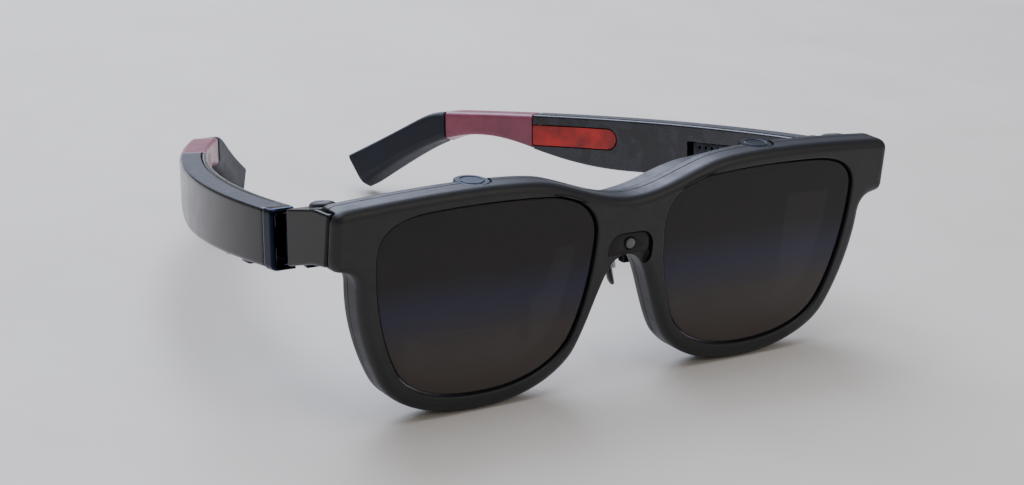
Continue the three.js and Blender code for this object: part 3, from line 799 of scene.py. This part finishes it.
@dataclass(frozen=True)
class RowOfStuds(RepeatTree):
    """A grid of round or oval studs in the XY plane, each a sixteen-sided post."""

    def make(self, columns: int, rows: int, pitch: Point, size: tuple[float, float, float],
             finish: Finish) -> bmesh.types.BMesh:
        """The studs about the origin.

        Args:
            columns: Studs along X.
            rows: Studs along Y.
            pitch: Distances along X and Y, in metres.
            size: Size of one stud, in metres.
            finish: Its material.

        Returns:
            The mesh.
        """
        tree, start = self.start({
            "Columns": "NodeSocketInt", "Rows": "NodeSocketInt", "Width": "NodeSocketFloat",
            "Length": "NodeSocketFloat", "Size": "NodeSocketVector", "Material": "NodeSocketMaterial",
        })
        get = start.outputs
        grid = add_node(tree, "GeometryNodeMeshGrid", inputs={
            "Size X": get["Width"], "Size Y": get["Length"],
            "Vertices X": get["Columns"], "Vertices Y": get["Rows"],
        })
        post = add_node(tree, "GeometryNodeMeshCylinder", inputs={
            "Vertices": 16, "Radius": 0.5, "Depth": 1.0,
        })
        studs = add_node(tree, "GeometryNodeInstanceOnPoints", inputs={
            "Points": grid.outputs["Mesh"], "Instance": post.outputs["Mesh"], "Scale": get["Size"],
        })
        self.end(tree, studs.outputs[0], get["Material"])
        return self.bake(tree, {
            "Columns": columns, "Rows": rows, "Size": size, "Material": finish.material(),
            "Width": pitch[0] * (columns - 1), "Length": pitch[1] * (rows - 1),
        })


# ---------------------------------------------------------------- front
@dataclass
class FrontFrame:
    """The front cover, the chassis and rear housing behind it, and the bridge with its sensor."""

    brow_fillet: Point = (2.1, 1.9)
    back_fillet: Point = (1.7, 1.7)
    rim_fillet: Point = (0.45, 0.45)
    recess: tuple[float, float, float, float] = (6.2, 4.4, 3.6, 30.6)
    recess_depth: Point = (-2.0, 1.2)
    side_space: tuple[Point, Point, Point] = ((2.0, 30.0), (74.0, 82.0), (30.0, 52.0))
    pocket_rise: float = 4.0             # the dial pockets reach this far over the dials
    notch_chamfer: float = 5.0
    seam: float = 0.12                   # the cover and chassis each reach this far into their gap
    louvres: int = 5
    louvre_pitch: float = 1.5
    louvre_size: tuple[float, float, float] = (0.6, 4.6, 0.5)
    louvre_middle: Point = (59.0, 40.2)

    def dial_pocket(self, side: Side) -> bmesh.types.BMesh:
        """The space that a focus dial needs in the brow."""
        low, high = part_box(f"focus_dial_{side.label}")
        middle = (low + high) / 2 / MM
        radius = (high.x - low.x) / 2 / MM + GAP
        circle = bar(radius, radius, radius - 0.01, (middle.x, middle.y))
        return Plate(circle, low.z / MM - GAP, high.z / MM + self.pocket_rise,
                     lambda x, y, z: Vector((x, y, z)) * MM, CRISP, CRISP).build()

    def side_cut(self, side: Side) -> bmesh.types.BMesh:
        """The space beside the front where the glossy side trim lies."""
        (near, far), (inner, outer), (low, top) = self.side_space
        corners = [(inner, low), (outer, low), (outer, top), (inner, top)]
        return Plate([(side.value * x, z) for x, z in corners], near, far, at, CRISP, CRISP).build()

    def pockets(self) -> list[bmesh.types.BMesh]:
        """Dial pockets and side cuts of both sides."""
        return [make(side) for side in Side for make in (self.dial_pocket, self.side_cut)]

    def build_cover(self) -> None:
        """The front cover, with its rounded brow, rim edges and bridge recess."""
        near, far = depths("front_cover")
        width, height, radius, middle = self.recess
        plate = Plate(front_outline(), near, far + self.seam, at, self.brow_fillet, (0.15, 0.15),
                      [pane_outline(side) for side in Side], self.rim_fillet, 0.45)
        keyhole = bar(width, height, radius, (0, middle))
        recess = Plate(keyhole, *self.recess_depth, at, CRISP, (0.3, 0.3)).build()
        add_piece("front_cover_finished", carved(plate.build(), [recess, *self.pockets()]), [SOFT_BLACK],
                  "root", ["front_cover"])

    def build_chassis(self) -> None:
        """The chassis ring, which shows as the rear half of the rims."""
        near, far = depths("chassis")
        plate = Plate(front_outline(), near - self.seam, far, at, (0.15, 0.15), self.back_fillet,
                      [pane_outline(side) for side in Side], (0.25, 0.25), 0.45)
        mesh = carved(plate.build(), self.pockets())
        add_piece("chassis_finished", mesh, [SOFT_BLACK], "root", ["chassis"])

    def build_housing(self) -> None:
        """The rear housing, whose curved top steps down behind the brow."""
        near, far = depths("rear_housing")
        notch_low, notch_high = (v.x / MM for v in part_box("optic_frame_left"))
        notch_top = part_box("optic_frame_left")[1].z / MM + GAP
        chamfer = self.notch_chamfer
        half = [
            (0, 39.9, 6), (9, 41.2, 6), (16, 43.6, 4), (22, 45.0, 6), (38, 46.2, 9), (55, 46.0, 9),
            (64, 45.2, 3), (66, 44.4, 1), (66, 35), (notch_high + GAP, 35),
            (notch_high + GAP, notch_top - chamfer), (notch_high - chamfer, notch_top),
            (notch_low + chamfer, notch_top), (notch_low - GAP, notch_top - chamfer),
            (notch_low - GAP, 30.9), (12, 30.6, 2), (7, 31.6, 2), (0, 32.6, 2),
        ]
        other = [(-point[0], *point[1:]) for point in reversed(half[1:-1])]
        plate = Plate(rounded(half + other), near, far, at, (0.2, 0.2), (1.2, 1.2))
        mesh = carved(plate.build(), [self.dial_pocket(side) for side in Side], solver="FAST")
        add_piece("rear_housing_finished", mesh, [SOFT_BLACK], "root", ["rear_housing"])
        for side in Side:
            slots = RowOfStuds(f"vent_slots_{side.label}").make(
                self.louvres, 1, (self.louvre_pitch * MM, 0),
                tuple(size * MM for size in self.louvre_size), INNER_BLACK)
            x, z = self.louvre_middle
            slots.transform(Matrix.Translation(at(side.value * x, z, far + 0.1))
                            @ Matrix.Rotation(math.pi / 2, 4, "X"))
            add_piece(f"vent_slots_{side.label}", slots, [INNER_BLACK], "root")

    def build(self) -> None:
        """All the pieces of the front."""
        self.build_cover()
        self.build_chassis()
        self.build_housing()
        add_softened("bridge_plate", 0.12, GLOSS_BLACK, "root")
        add_softened("light_sensor", 0.12, SENSOR, "root")
        add_softened("nose_bracket", 0.3, SOFT_BLACK, "root")
        add_softened("main_flex_board", 0.1, BOARD, "root")


@dataclass
class Eye:
    """One lens pane with its printed border, and the display optics behind it."""

    side: Side
    border: float = 2.3
    border_inset: float = 0.45
    border_depth: Point = (3.05, 3.35)
    ball_radius: float = 46.0
    combiner_thickness: float = 1.2
    combiner_back: float = 6.7
    combiner_rings: int = 12

    def build_pane(self) -> None:
        """The tinted pane and the printed border against its back."""
        near, far = depths(f"lens_pane_{self.side.label}")
        outline = shrunk(pane_outline(self.side), GAP)
        add_piece(f"lens_{self.side.label}", Plate(outline, near, far, at, (0.35, 0.3), (0.1, 0.1)).build(),
                  [LENS], "root", [f"lens_pane_{self.side.label}"])
        opening = shrunk(pane_outline(self.side), self.border)
        outline = shrunk(pane_outline(self.side), self.border_inset)
        ring = Plate(outline, *self.border_depth, at, CRISP, CRISP, [opening], CRISP)
        add_piece(f"lens_border_{self.side.label}", ring.build(), [PRINTED_BORDER], "root")

    def build_combiner(self) -> None:
        """The curved half mirror: rings of a tongue outline laid on two balls."""
        node = f"combiner_{self.side.label}"
        low, high = (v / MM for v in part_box(node))
        middle = (low.x + high.x) / 2
        half = (high.x - low.x) / 2
        foot = half * 0.75
        corners = [(-half, high.z, 1), (-half, low.z, foot), (half, low.z, foot), (half, high.z, 1)]
        loop = evenly(rounded([(middle + c[0], c[1], c[2]) for c in corners]), 0.8)
        centre = Vector((middle, (low.z + high.z) / 2))
        ball = Vector((middle, self.combiner_back + self.ball_radius, 25.0))
        mesh = bmesh.new()
        rims = []
        for radius in (self.ball_radius, self.ball_radius + self.combiner_thickness):
            rings = []
            for step in range(1, self.combiner_rings + 1):
                flat = [centre.lerp(point, step / self.combiner_rings) for point in loop]
                rings.append([mesh.verts.new(at(p.x, p.y, ball.y - math.sqrt(
                    radius**2 - (p.x - ball.x) ** 2 - (p.y - ball.z) ** 2))) for p in flat])
            for one, other in zip(rings, rings[1:]):
                bridge(mesh, one, other)
            mesh.faces.new(rings[0])
            rims.append(rings[-1])
        bridge(mesh, *rims)
        add_piece(f"{node}_finished", mesh, [HALF_MIRROR], "root", [node])

    def build(self) -> None:
        """The pane and the optics."""
        self.build_pane()
        self.build_combiner()
        label = self.side.label
        add_softened(f"optic_frame_{label}", 0.5, INNER_BLACK, "root")
        add_softened(f"beam_splitter_{label}", 0.15, HALF_MIRROR, "root")
        add_softened(f"micro_display_{label}", 0.1, DISPLAY, "root")
        add_softened(f"focus_carriage_{label}", 0.25, INNER_BLACK, f"focus_carriage_{label}")
        add_softened(f"focus_lens_{label}", 0.15, CLEAR_GLASS, f"focus_carriage_{label}")


@dataclass
class FocusDial:
    """The knurled wheel that stands out of the brow over each eye."""

    side: Side
    teeth: int = 30
    proud: float = 0.7                   # the wheel's top stands this far over its CAD node

    def build(self) -> None:
        """The wheel, in the place of its CAD node."""
        node = f"focus_dial_{self.side.label}"
        low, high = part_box(node)
        wheel = KnurledWheel(f"knurled_wheel_{self.side.label}").make(
            (high.x - low.x) / 2, high.z - low.z + self.proud * MM, self.teeth, DIAL_METAL)
        wheel.transform(Matrix.Translation(((low.x + high.x) / 2, (low.y + high.y) / 2, low.z)))
        add_piece(f"{node}_finished", wheel, [DIAL_METAL], node, [node])


@dataclass
class NosePad:
    """A crowned silicone pad on its small metal carrier."""

    side: Side
    middle: tuple[float, float, float] = (10.6, 20.0, 21.8)
    lean: float = -0.34
    flare: float = -0.62
    outline: tuple[float, float, float] = (3.6, 7.2, 3.5)
    thickness: float = 1.5
    crown: Point = (2.6, 1.1)
    foot: Point = (0.35, 0.3)

    def spot(self, across: float, up: float, out: float) -> Vector:
        """A point of the pad, from its place on the skin side and its height out of the pad."""
        turn = Matrix.Rotation(self.lean, 4, "Y") @ Matrix.Rotation(self.flare, 4, "Z")
        x, y, z = turn @ Vector((out, across, up)) + Vector(self.middle)
        return at(self.side.value * x, z, y)

    def build(self) -> None:
        """The pad and its carrier."""
        node = f"nose_pad_{self.side.label}"
        pad = Plate(bar(*self.outline), -self.thickness, 0, self.spot, self.crown, self.foot, spacing=0.35)
        add_piece(f"{node}_finished", pad.build(), [SILICONE], node, [node])
        add_softened(f"pad_carrier_{self.side.label}", 0.15, STEEL, node)


@dataclass
class Endpiece:
    """The corner block that holds the hinge, its glossy side trim and the low cap on its top."""

    side: Side
    cap_sink: float = 0.8                # the cap's skirt reaches into the endpiece
    cap_slope: float = -0.28
    cap_length: float = 6.7
    cap_height: float = 1.7
    trim: tuple[Point, ...] = ((2.4, 47.4), (8, 46.9), (18.9, 43.6), (17.1, 31.9), (8, 35.3), (2.4, 36.4))

    def build(self) -> None:
        """All the pieces of the corner."""
        label = self.side.label
        trim = f"side_trim_{label}"
        faces = sorted(abs(v.x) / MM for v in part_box(trim))
        sign = self.side.value
        plate = Plate(rounded(self.trim, 0.9), *faces, lambda depth, z, x: at(sign * x, z, depth),
                      (0.1, 0.1), (0.7, 0.55), spacing=0.3)
        add_piece(f"{trim}_finished", plate.build(), [GLOSS_BLACK], "root", [trim])
        add_softened(f"endpiece_{label}", 0.35, SOFT_BLACK, "root")
        self.build_cap()
        add_softened(f"hinge_leaf_{label}", 0.2, NAVY_METAL, "root")
        add_softened(f"hinge_pin_{label}", 0.1, STEEL, f"temple_{label}")

    def build_cap(self) -> None:
        """The low oval cap over the hinge."""
        node = f"hinge_cap_{self.side.label}"
        low, high = (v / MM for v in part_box(node))
        middle, half = (low + high) / 2, (high - low) / 2
        middle.z -= self.cap_sink
        slope = Matrix.Rotation(self.cap_slope, 4, "X")

        def spot(x: float, y: float, z: float) -> Vector:
            return (slope @ Vector((x, y, z)) + middle) * MM

        turns = [math.tau * i / 48 for i in range(48)]
        oval = [(half.x * math.cos(a), self.cap_length / 2 * math.sin(a)) for a in turns]
        rise = self.cap_height / 2
        cap_mesh = Plate(oval, -rise, rise, spot, (0.5, 0.3), (1.9, 0.9), spacing=0.3).build()
        add_piece(f"{node}_finished", cap_mesh, [SOFT_BLACK], "root", [node])


# ---------------------------------------------------------------- temples
@dataclass
class Temple:
    """One temple: shell, smoked inner cover, red window, rose sleeve, tip, collar and its parts."""

    side: Side
    tilt: float = math.radians(9.4)
    out: float = 7.2
    thickness: float = 6.6
    half_height: float = 6.2
    bow: float = 175.0
    start: float = 6.1
    shell_end: float = 90.0
    sleeve_end: float = 116.0
    tip_end: float = 144.0
    tip_height: float = 9.28
    wall: float = 1.3
    window: Point = (62.0, 88.0)
    window_half_height: float = 2.6
    window_level: float = 0.9            # its middle, over the middle of the hinge
    pocket_gaps: float = 1.6             # room at the far corners of a control, in gaps
    grille: Point = (26.0, 40.0)
    droop: tuple[float, float, float, float] = (109.0, 119.0, -16.2, math.radians(27.3))

    def __post_init__(self) -> None:
        """Works out the hinge and the side profile."""
        joint = next(j for j in frame["joints"] if j["name"] == f"temple_{self.side.label}_fold")
        self.hinge = Vector(joint["pos_m"]) / MM
        self.hinge.x = abs(self.hinge.x)
        start, end, drop, _ = self.droop
        top, low = self.half_height, -self.half_height
        back = self.back
        bend = (back(start + 6), top, back(start + 6), top, back(end), top - 1.9)
        beyond = back(self.tip_end + 3)
        self.top_line = [(-9, top), *bezier_chain((back(start), top), [bend]), (beyond, top + drop)]
        tail = (back(self.tip_end - 8), top + drop - self.tip_height + 5.0)
        under = bezier_chain((0.0, low), [
            (back(20), low, back(42), low - 0.9, back(60), low - 0.9),
            (back(81), low - 0.6, back(89), low + 5.6, back(100), low + 6.4),
            (back(113), low + 7.4, back(122), low + 1.2, *tail),
        ])
        self.low_line = [(-9, low), *under, (beyond, top + drop - self.tip_height)]

    def back(self, station: float) -> float:
        """How far behind the hinge a station of the outer face is."""
        return self.bow * math.sin(station / self.bow)

    @staticmethod
    def height(line: list[Point], y: float) -> float:
        """The height of a profile line at a distance behind the hinge."""
        for (y0, z0), (y1, z1) in zip(line, line[1:]):
            if y <= y1:
                return z0 + (z1 - z0) * (y - y0) / max(y1 - y0, 1e-9)
        return line[-1][1]

    def local(self, x: float, z: float, y: float) -> Vector:
        """A point given in the tilted frame at the hinge of the right temple."""
        point = Matrix.Rotation(-self.tilt, 4, "X") @ Vector((x, y, z)) + self.hinge
        return Vector((Side.RIGHT.value * point.x, point.y, point.z)) * MM

    def through(self, y: float, z: float, x: float) -> Vector:
        """A point of a side outline, for shapes pushed through the temple."""
        return self.local(x, z, y)

    def own(self, mesh: bmesh.types.BMesh) -> bmesh.types.BMesh:
        """A mesh made for the right temple, mirrored if this is the left one."""
        if self.side is Side.LEFT:
            mesh.transform(Matrix.Scale(-1, 4, (1, 0, 0)))
        return mesh

    def spot(self, station: float, inwards: float, z: float) -> Vector:
        """A point at a station of the bowed temple, a distance in from its outer face."""
        angle = station / self.bow
        reach = self.bow - inwards
        return self.local(self.out - self.bow + reach * math.cos(angle), z, reach * math.sin(angle))

    def level(self, station: float, inwards: float, share: float, shift: float) -> float:
        """The height of a point that is a share of the way up, plus a shift."""
        y = (self.bow - inwards) * math.sin(station / self.bow)
        low, top = self.height(self.low_line, y), self.height(self.top_line, y)
        return low + share * (top - low) + shift

    def section(self, outline: list[tuple[float, float, float]], station: float,
                slant: float = 0) -> list[Vector]:
        """A placed section.

        Args:
            outline: Points as (distance in, share of the height, shift in height).
            station: Where along the outer face.
            slant: How far the section leans back at its top, in radians.

        Returns:
            The points.
        """
        middle = self.level(station, self.thickness / 2, 0.5, 0)
        points = []
        for inwards, share, shift in outline:
            moved = station
            for _ in range(4 if slant else 0):
                moved = station + (self.level(moved, inwards, share, shift) - middle) * math.tan(slant)
            points.append(self.spot(moved, inwards, self.level(moved, inwards, share, shift)))
        return points

    def oblong(self, outer: float, inner: float, radius: float, inset: float = 0) -> list:
        """A section with four round corners, drawn in by an inset."""
        outer, inner = outer + inset, inner - inset
        corners = [(inner - radius, 1, -radius, 0), (outer + radius, 1, -radius, 90),
                   (outer + radius, 0, radius, 180), (inner - radius, 0, radius, 270)]
        points = []
        for across, share, shift, first in corners:
            rise = inset if share == 0 else -inset
            for step in range(-1, 8):
                turn = math.radians(first + min(max(step, 0), 6) * 15)
                dx, dz = radius * math.cos(turn), radius * math.sin(turn)
                lead = SUPPORT * ((step == 7) - (step == -1))
                dx -= lead * math.sin(turn)
                dz += lead * math.cos(turn)
                points.append((across + dx, share, shift + dz + rise))
        return points

    def channel(self, outer: float, inner: float, radius: float, inset: float = 0) -> list:
        """A section like a C that opens towards the head."""
        ring = self.oblong(outer, inner + 2 * radius, radius, inset)
        shell = [point for point in ring if point[0] <= inner + 0.001]
        wall = self.wall - inset
        hollow = [(inner, 0, wall), (outer + wall, 0, wall), (outer + wall, 1, -wall), (inner, 1, -wall)]
        edge = [(inner, 1, -inset)]
        return edge + shell + [(inner, 0, inset)] + hollow

    def run(self, shape: Callable, first: float, last: float, ends: float, step: float = 1.2,
            slant: Callable[[float], float] = lambda station: 0.0) -> bmesh.types.BMesh:
        """Lofts a section along the temple, with its two ends rounded.

        Args:
            shape: Gives the section for an inset.
            first: First station.
            last: Last station.
            ends: Radius of the rounding at the ends.
            step: Distance between sections.
            slant: Lean of the section at a station.

        Returns:
            The mesh.
        """
        arc = [math.radians(a) for a in (0, 22.5, 45, 67.5, 90)]
        rounding = [(ends * (1 - math.sin(a)), ends * (1 - math.cos(a))) for a in arc]
        stops = [(first + along, inset) for inset, along in rounding]
        count = max(2, round((last - first) / step))
        inner_run = last - first - 2 * ends
        stops += [(first + ends + inner_run * i / count, 0) for i in range(1, count)]
        stops += [(last - along, inset) for inset, along in reversed(rounding)]
        sections = [self.section(shape(inset), station, slant(station)) for station, inset in stops]
        flats = [[(x, share * 12 + shift) for x, share, shift in shape(ends)]] * 2
        return loft(sections, flats)

    def lies_up(self, face: bmesh.types.BMFace) -> int:
        """1 for a face of the top edge, which takes the blue-grey painted sky reflection."""
        return int(face.normal.z > 0.8)

    def capsule(self, clearance: float) -> bmesh.types.BMesh:
        """The long oval of the red window, pushed through the inner face."""
        first, last = (self.back(station) for station in self.window)
        half, height = (last - first) / 2 + clearance, self.window_half_height + clearance
        oval = bar(half, height, height - 0.05, ((first + last) / 2, self.window_level))
        return Plate(oval, -60, 10, self.through, CRISP, CRISP).build()

    def build_shell(self) -> None:
        """The glossy outer shell and the smoked cover that closes it."""
        label, body = self.side.label, f"temple_{self.side.label}"
        inner = self.thickness - self.wall
        length = (self.start, self.shell_end)
        shell = self.run(lambda inset: self.channel(0, inner - GAP, 0.9, inset), *length, 0.2)
        node = f"temple_shell_{label}"
        if self.side is Side.RIGHT:
            shell = carved(shell, [self.control_pocket(control) for control in CONTROLS])
        bmesh.ops.recalc_face_normals(self.own(shell), faces=shell.faces)
        shell.normal_update()
        # Faces that lie up take the blue-grey painted sky reflection.
        add_piece(f"{node}_finished", shell, [GLOSS_BLACK, PAINTED_SKY_TOP], body, [node], self.lies_up)
        cover = self.run(lambda inset: self.oblong(inner, self.thickness, 0.5, inset), *length, 0.2)
        grille = self.grille_block(2.3, GAP)
        add_piece(f"inner_cover_{label}_finished", self.own(carved(cover, [self.capsule(GAP), grille])),
                  [SMOKED], body, [f"inner_cover_{label}"])
        window = self.run(lambda inset: self.oblong(inner, self.thickness + 0.1, 0.2, inset),
                          self.window[0] - 2, self.window[1] + 2, 0.1)
        add_piece(f"red_window_{label}_finished", self.own(carved(window, [self.capsule(0)], "INTERSECT")),
                  [RED_GUIDE], body, [f"red_window_{label}"])

    def control_pocket(self, node: str) -> bmesh.types.BMesh:
        """The hole that a control needs in the underside of the shell."""
        mesh = bmesh.new()
        mesh.from_mesh(frame["nodes"][node].data)
        bmesh.ops.remove_doubles(mesh, verts=mesh.verts, dist=1e-6)
        middle = sum((v.co for v in mesh.verts), Vector()) / len(mesh.verts)
        longest = max((v.co - middle).length for v in mesh.verts)
        for vertex in mesh.verts:
            vertex.co += (vertex.co - middle) * (self.pocket_gaps * GAP * MM / longest)
        return mesh

    def grille_block(self, half_height: float, clearance: float) -> bmesh.types.BMesh:
        """The block of space that the speaker grille takes."""
        first, last = self.back(self.grille[0]) - clearance, self.back(self.grille[1]) + clearance
        outline = [(first, -half_height), (last, -half_height), (last, half_height), (first, half_height)]
        return Plate(rounded(outline, 0.5), -20, 8, self.through, CRISP, CRISP).build()

    def build_rear(self) -> None:
        """The rose sleeve and the drooping tip."""
        label, body = self.side.label, f"temple_{self.side.label}"
        sleeve = self.run(lambda inset: self.oblong(0, self.thickness, 1.1, inset), self.shell_end + GAP,
                          self.sleeve_end, 0.25)
        add_piece(f"sleeve_{label}_finished", self.own(sleeve), [ROSE], body, [f"sleeve_{label}"])
        first = self.sleeve_end + GAP
        lean = self.droop[3]
        last = self.tip_end - self.tip_height / 2 * math.sin(lean) * math.cos(lean)

        def slant(station: float) -> float:
            share = min(1.0, (station - first) / (last - 8 - first))
            return lean * share * share * (3 - 2 * share)

        wide = self.thickness + 0.2
        tip = self.run(lambda inset: self.oblong(0, wide, 1.6, inset), first, last, 0.5, 1.0, slant)
        node = f"temple_tip_{label}"
        add_piece(f"{node}_finished", self.own(tip), [NAVY_TIP], body, [node])

    def build_collar(self) -> None:
        """The polished band round the front end."""
        node = f"collar_{self.side.label}"
        outline = [(1.9, -6.55), (7.5, -6.55, 1.6), (7.5, 6.55, 1.6), (1.9, 6.55),
                   (1.9, 5.2), (6.2, 5.2), (6.2, -5.2), (1.9, -5.2)]
        band = Plate(rounded(outline, 0.2), 1.7, 5.8, self.local, (0.6, 0.95), (0.6, 0.95), spacing=0.25)
        mesh = self.own(band.build())
        add_piece(f"{node}_finished", mesh, [NAVY_METAL], f"temple_{self.side.label}", [node])

    def build_parts(self) -> None:
        """Knuckle, speaker, grille and board, with rounded edges."""
        label, body = self.side.label, f"temple_{self.side.label}"
        add_softened(f"temple_knuckle_{label}", 0.2, NAVY_METAL, body)
        add_softened(f"speaker_{label}", 0.2, STEEL, body)
        add_softened(f"speaker_grille_{label}", 0.06, GRILLE, body)
        add_softened(f"temple_board_{label}", 0.08, BOARD, body)

    def build(self) -> None:
        """The whole temple."""
        self.build_shell()
        self.build_rear()
        self.build_collar()
        self.build_parts()


@dataclass
class Controls:
    """The press button and rocker under the right temple, and the cable contacts in its tip."""

    pins: int = 4
    pin_pitch: float = 1.3
    pin_size: tuple[float, float, float] = (0.8, 0.8, 0.3)

    def build_contacts(self) -> None:
        """The contact plate and the row of pins along it."""
        add_softened("contact_port", 0.1, GOLD, "temple_right")
        mount = next(m for m in frame["record"]["mounts"] if m["name"] == "cable_face")
        block = softened("contact_port", 0)
        longest = max(block.edges, key=lambda edge: edge.calc_length())
        along = (longest.verts[0].co - longest.verts[1].co).normalized()
        block.free()
        out = Vector(mount["axis"]).normalized()
        across = along.cross(out)
        turn = Matrix((across, along, out)).transposed().to_4x4()
        row = RowOfStuds("contact_pins").make(1, self.pins, (0, self.pin_pitch * MM),
                                              tuple(size * MM for size in self.pin_size), GOLD)
        row.transform(Matrix.Translation(mount["pos_m"]) @ turn)
        add_piece("contact_pins", row, [GOLD], "temple_right")

    def build(self) -> None:
        """The controls and the contacts."""
        for node in CONTROLS:
            add_softened(node, 0.35, DIAL_METAL, node)
        self.build_contacts()


# ---------------------------------------------------------------- studio
@dataclass(frozen=True)
class SoftLight:
    """A square soft box aimed at the glasses."""

    name: str
    place: tuple[float, float, float]
    size: float
    power: float
    colour: str
    aim: tuple[float, float, float] = (0.0, 0.0, 0.03)

    def build(self) -> None:
        """Adds the light."""
        lamp = bpy.data.lights.new(self.name, "AREA")
        lamp.shape = "SQUARE"
        lamp.size = self.size
        lamp.energy = self.power
        lamp.color = srgb(self.colour)[:3]
        made = bpy.data.objects.new(self.name, lamp)
        made.location = self.place
        made.rotation_euler = (Vector(self.aim) - Vector(self.place)).to_track_quat("-Z", "Y").to_euler()
        bpy.context.scene.collection.objects.link(made)


@dataclass
class Studio:
    """A pale floor, soft light and the camera."""

    camera_place: tuple[float, float, float] = (-291.4, 181.6, -345.3)   # x, z and depth, in mm
    camera_back: tuple[float, float, float] = (-0.5694, -0.7582, 0.3178)
    camera_roll: float = math.radians(4.72)
    lens: float = 77.41
    lights: tuple[SoftLight, ...] = (
        SoftLight("window_behind", (0.15, 0.75, 0.8), 0.9, 15.0, "dbe5ff"),
        SoftLight("sky_above", (-0.15, 0.05, 1.0), 0.9, 7.0, "e8eeff"),
        SoftLight("fill_front_right", (0.5, -0.95, 0.6), 0.7, 2.2, "fff1e2"),
    )

    def build_floor(self) -> None:
        """The pale floor that the glasses stand on."""
        mesh = bmesh.new()
        bmesh.ops.create_grid(mesh, x_segments=8, y_segments=8, size=3.0)
        data = bpy.data.meshes.new("floor")
        mesh.to_mesh(data)
        mesh.free()
        floor = bpy.data.objects.new("floor", data)
        floor.location.z = CAD_BOX[0].z - 0.02 * MM
        # Matt painted board: pale warm grey, very even.
        paint = Finish("pale_painted_board", "soft_black", "e6dfd4", "e0d9cd", 0.6, patch_mm=60, grain_mm=2)
        data.materials.append(paint.material())
        bpy.context.scene.collection.objects.link(floor)

    def build_world(self) -> None:
        """Even pale light from all round."""
        world = bpy.data.worlds.new("studio")
        world.use_nodes = True
        background = world.node_tree.nodes["Background"]
        background.inputs["Color"].default_value = srgb("d2d3d6")
        background.inputs["Strength"].default_value = 0.4
        bpy.context.scene.world = world

    def build_camera(self) -> None:
        """The camera, in front of the glasses on the wearer's right."""
        data = bpy.data.cameras.new("camera")
        data.lens = self.lens
        data.sensor_width = 36.0
        data.clip_start = 0.01
        camera = bpy.data.objects.new("camera", data)
        look = (-Vector(self.camera_back)).to_track_quat("-Z", "Y").to_matrix().to_4x4()
        camera.matrix_world = (Matrix.Translation(at(*self.camera_place)) @ look
                               @ Matrix.Rotation(self.camera_roll, 4, "Z"))
        bpy.context.scene.collection.objects.link(camera)
        bpy.context.scene.camera = camera

    def build(self) -> None:
        """The whole set."""
        self.build_floor()
        self.build_world()
        for light in self.lights:
            light.build()
        self.build_camera()


def main() -> None:
    logging.basicConfig(level=logging.INFO, format="%(name)s: %(message)s")
    Studio().build()
    FrontFrame().build()
    for side in Side:
        Eye(side).build()
        FocusDial(side).build()
        NosePad(side).build()
        Endpiece(side).build()
        Temple(side).build()
    Controls().build()


if __name__ == "__main__":
    main()
